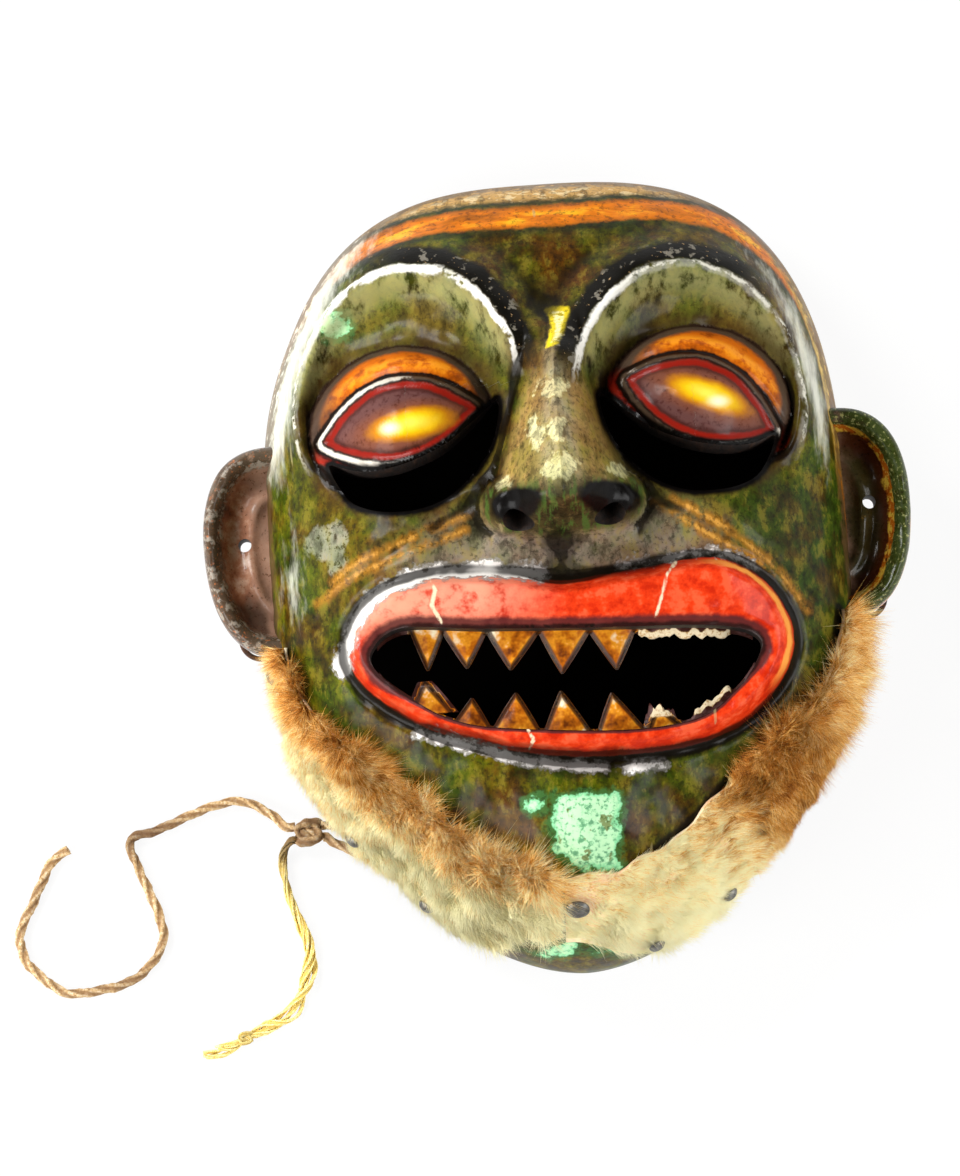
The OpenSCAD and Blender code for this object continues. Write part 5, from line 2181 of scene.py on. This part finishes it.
    def build(self) -> None:
        brown = TwistedCord()
        pale = TwistedCord("bleached_fibre_cord", "#d8b248", "#fae894", "#fff8c8")
        loop_line = self.evened(self.loop_route(), 0.7)
        loop_skin = self.strand_tube(loop_line, self.cord_d / 2, 3, 11)
        loop = self.cord_piece("jaw_tie_loop", [loop_skin], np.full(len(loop_skin[0]), 0.5), brown)
        knot = self.knot(brown)
        long_line = self.evened(self.laid(self.long_turns, 0.25 * self.knot_d, self.cord_d), 0.7)
        long_skin = self.strand_tube(long_line, self.cord_d / 2, 3, 12)
        run = np.linspace(0, 1, len(long_line))
        soil = 0.1 + 0.8 * bell(run, 0.28, 0.07) + 0.5 * bell(run, 0.58, 0.09) + 0.3 * bell(run, 0.9, 0.05)
        soil = np.repeat(soil, len(long_skin[0]) // len(long_line))
        tail = self.cord_piece("long_tie_tail", [long_skin], soil, brown)
        frayed_line, frayed = self.frayed_tail(pale)
        hand_over(loop, "brown_cord", "tie_loop")
        hand_over(knot, "brown_cord", "tie_knot")
        hand_over(tail, "brown_cord", "long_cord")
        hand_over(frayed, "pale_cord", "frayed_cord")
        self.declare(loop, loop_line, self.cord_d, "object", [knot])
        self.declare(tail, long_line, self.cord_d, "bare", [])
        self.declare(frayed, frayed_line, self.frayed_d, "bare", [])

    @staticmethod
    def declare(piece: Object, line: Array, diameter: float, far_end: str, others: list[Object]) -> None:
        """Takes a cord's piece and middle line and does nothing with them.

        Args:
            piece: Not used.
            line: Not used.
            diameter: Not used.
            far_end: Not used.
            others: Not used.
        """

    def knot(self, finish: Finish) -> Object:
        """Ties the knot in the place of the solid knot.

        Args:
            finish: Its material.

        Returns:
            The piece.
        """
        x, y, z = self.knot_at
        skin = self.tied(np.array((x + self.knot_l / 2, y, z)), 1.0, 1.2 * self.cord_d / 2, 13)
        return self.cord_piece("overhand_knot", [skin], np.full(len(skin[0]), 0.7), finish)

    def tied(self, middle: Array, scale: float, radius: float, seed: int) -> Skin:
        """Winds one closed strand as an overhand knot about a point.

        Args:
            middle: The point.
            scale: Its size, 1 for the main knot.
            radius: The strand's radius.
            seed: Fixes the unevenness.

        Returns:
            The strand's skin.
        """
        t = np.linspace(0, 2 * pi, 90, endpoint=False)
        line = np.stack([2.9 * np.sin(3 * t), (np.sin(t) + 2 * np.sin(2 * t)) * 0.95,
                         (np.cos(t) - 2 * np.cos(2 * t)) * 0.72], axis=1)
        return self.strand_tube(scale * line + middle, radius, 3, seed, closed=True)

    def frayed_tail(self, finish: Finish) -> tuple[Array, Object]:
        """Opens the pale tail into loose strands towards its end.

        Args:
            finish: Its material.

        Returns:
            The middle line, and the piece.
        """
        line = self.evened(self.laid(self.frayed_turns, -0.25 * self.knot_d, self.frayed_d), 0.8)
        first, second = self.frames(line)
        run = np.linspace(0, 1, len(line))
        parts, stains = [], []
        shorter_by = (0, 1, 5, 0, 8, 1, 6)
        for k, steps in enumerate(shorter_by):
            turn = 2 * pi * (k / len(shorter_by) + run * (2.2 + 0.3 * k)) + 0.5 * np.sin(9 * run + 2 * k)
            spread = (0.7 + 1.3 * smooth(0.15, 0.6, run) * (0.7 + 0.3 * sin(2.3 * k))) * (k > 0)
            spread = spread * (1 - 0.75 * bell(run, 0.84, 0.05))
            route = line + spread[:, None] * (np.cos(turn)[:, None] * first + np.sin(turn)[:, None] * second)
            thick = 0.72 if k < 4 else 0.55
            route[:, 2] = np.maximum(route[:, 2], thick + 0.1)
            cut = len(line) - steps
            skin = self.strand_tube(route[:cut], thick, 2, 20 + k)
            parts.append(skin)
            stains.append(np.repeat(smooth(0.3, 0.02, run[:cut]), len(skin[0]) // cut))
        parts.append(self.tied(line[int(0.84 * len(line))] + (0, 0, 0.7), 0.55, 0.75, 28))
        stains.append(np.full(len(parts[-1][0]), 0.4))
        return line, self.cord_piece("frayed_tie_tail", parts, np.concatenate(stains), finish)


@dataclass
class Hardware:
    """The tacks, wires and dowels, which keep the shapes of the solids."""

    finishes: dict[str, Finish] = field(default_factory=lambda: {
        "chin_tack": TackSteel(), "left_beard_tacks": TackSteel(), "right_beard_tacks": TackSteel(),
        "left_tie_wire": RUSTY_IRON, "right_tie_wire": RUSTY_IRON,
        "left_ear_pegs": PEG_WOOD, "right_ear_pegs": PEG_WOOD})

    def dress(self) -> None:
        """Gives each solid its material."""
        for name, finish in self.finishes.items():
            piece = bpy.data.objects[name]
            piece.data.materials.clear()
            finish.cover(piece)
            LOG.info("%s keeps its solid", name)


@dataclass
class Studio:
    """The white table, the soft light and the camera above the mask."""

    distance: float = 1150.0
    target: Place = (0.0, 0.0, 40.0)
    elevation: float = 84.0
    azimuth: float = -2.0
    roll: float = 4.0
    focal_px: float = 3898.0
    image: tuple[int, int] = (960, 1176)
    axis_px: tuple[float, float] = (560.0, 565.0)

    def build(self) -> None:
        """Builds table, light and camera."""
        bpy.context.scene.view_settings.view_transform = "Standard"
        self.table()
        self.sky()
        self.lamp("window_light", (-650, 600, 800), 420, 13)
        self.lamp("right_light", (750, -250, 550), 500, 7)
        self.lamp("left_light", (-700, -350, 450), 500, 8)
        self.camera()

    @staticmethod
    def seen(tree: bpy.types.NodeTree) -> Socket:
        """Gives 1 for rays from the camera and for what gloss and glass show.

        Args:
            tree: Gets the nodes.

        Returns:
            The socket.
        """
        path = add(tree, "ShaderNodeLightPath")
        gloss = add(tree, "ShaderNodeMath",
                    {0: path.outputs["Is Camera Ray"], 1: path.outputs["Is Glossy Ray"]}, operation="MAXIMUM")
        return add(tree, "ShaderNodeMath", {0: gloss, 1: path.outputs["Is Transmission Ray"]},
                   operation="MAXIMUM").outputs[0]

    def table(self) -> None:
        """Lays the white table, which keeps the shadow beside the mask and has a painted shadow under it."""
        span = 2600
        square = [(-span, -span, -0.2), (span, -span, -0.2), (span, span, -0.2), (-span, span, -0.2)]
        floor = mesh_object("white_table", np.array(square), [(0, 1, 2, 3)])
        material = bpy.data.materials.new("white_table_board")
        material.use_nodes = True
        tree = material.node_tree
        tree.nodes.clear()
        glow = add(tree, "ShaderNodeEmission", {"Color": (1, 1, 1, 1), "Strength": 1})
        place = add(tree, "ShaderNodeTexCoord").outputs["Object"]
        # Painted shadow: within the mask's outline the board is near-black and does not glow.
        spot = add(tree, "ShaderNodeVectorMath", {0: place, 1: (1 / 0.083, 1 / 0.112, 0)},
                   operation="MULTIPLY")
        away = add(tree, "ShaderNodeVectorMath", {0: spot}, operation="LENGTH")
        clear = add(tree, "ShaderNodeMapRange", {0: away.outputs["Value"], 1: 0.97, 2: 1.03, 3: 0, 4: 1})
        tone = add(
            tree, "ShaderNodeMix", {0: clear, 6: linear("#151210"), 7: linear("#f4f4f2")}, data_type="RGBA")
        board = add(tree, "ShaderNodeBsdfDiffuse", {"Color": tone.outputs[2]})
        bright = add(tree, "ShaderNodeMath", {0: clear, 1: 0.9}, operation="MULTIPLY")
        share = add(tree, "ShaderNodeMath", {0: self.seen(tree), 1: bright}, operation="MULTIPLY")
        mix = add(tree, "ShaderNodeMixShader", {0: share, 1: board, 2: glow})
        add(tree, "ShaderNodeOutputMaterial", {0: mix})
        floor.data.materials.append(material)

    def sky(self) -> None:
        """Surrounds the table with white walls under a dim ceiling."""
        world = bpy.data.worlds.new("white_room")
        world.use_nodes = True
        tree = world.node_tree
        tree.nodes.clear()
        way = add(tree, "ShaderNodeSeparateXYZ", {0: add(tree, "ShaderNodeTexCoord").outputs["Generated"]})
        level = add(tree, "ShaderNodeMapRange", {0: way.outputs["Z"], 1: 0.05, 2: 0.45, 3: 1, 4: 0.06},
                    interpolation_type="SMOOTHSTEP")
        light = add(tree, "ShaderNodeBackground", {"Color": (1, 1, 1, 1), "Strength": level})
        add(tree, "ShaderNodeOutputWorld", {0: light})
        bpy.context.scene.world = world

    def lamp(self, name: str, place: Place, size: float, power: float) -> None:
        """Hangs one soft square light that looks at the mask.

        Args:
            name: Its name.
            place: Where it hangs.
            size: Its width.
            power: Watts.
        """
        light = bpy.data.lights.new(name, "AREA")
        light.size = size * MM
        light.energy = power
        lamp = bpy.data.objects.new(name, light)
        lamp.location = Vector(place) * MM
        lamp.rotation_euler = (Vector(self.target) * MM - lamp.location).to_track_quat("-Z", "Y").to_euler()
        bpy.context.scene.collection.objects.link(lamp)

    def camera(self) -> None:
        """Sets the camera at the photograph's angle and framing."""
        a, e, r = (radians(v) for v in (self.azimuth, self.elevation, self.roll))
        back = Vector((sin(a) * cos(e), -cos(a) * cos(e), sin(e)))
        level = (Vector((0, 1, 0)) - back * back.y).normalized()
        right = level.cross(back)
        up = cos(r) * level + sin(r) * right
        across = cos(r) * right - sin(r) * level
        data = bpy.data.cameras.new("table_camera")
        data.sensor_fit = "VERTICAL"
        data.sensor_height = 36
        wide, high = self.image
        data.lens = self.focal_px / high * 36
        data.shift_x = (wide / 2 - self.axis_px[0]) / high
        data.shift_y = (self.axis_px[1] - high / 2) / high
        data.clip_end = 20
        camera = bpy.data.objects.new("table_camera", data)
        turn = Matrix((across, up, back)).transposed().to_4x4()
        turn.translation = (Vector(self.target) + self.distance * back) * MM
        camera.matrix_world = turn
        bpy.context.scene.collection.objects.link(camera)
        bpy.context.scene.camera = camera


def main() -> None:
    """Builds the studio and the mask's pieces in order, and notes the sizes."""
    logging.basicConfig(level=logging.INFO, format="%(name)s: %(message)s")
    form = CarvedForm()
    Studio().build()
    TieCords().build()
    CarvedFace(form).build()
    for side in Side:
        Ear(side).build()
    for upper in (True, False):
        ToothStrip(form, upper).build()
    tacks = ((-17, 0.83), (-49, 0.84), (-65, 0.84))
    BeardHide(form, Side.LEFT, end=-85, tack_places=tacks).build()
    tacks = ((-17, 0.83), (-67, 0.84), (-80, 0.82), (-91, 0.62))
    BeardHide(form, Side.RIGHT, tack_places=tacks).build()
    Hardware().dress()


if __name__ == "__main__":
    main()
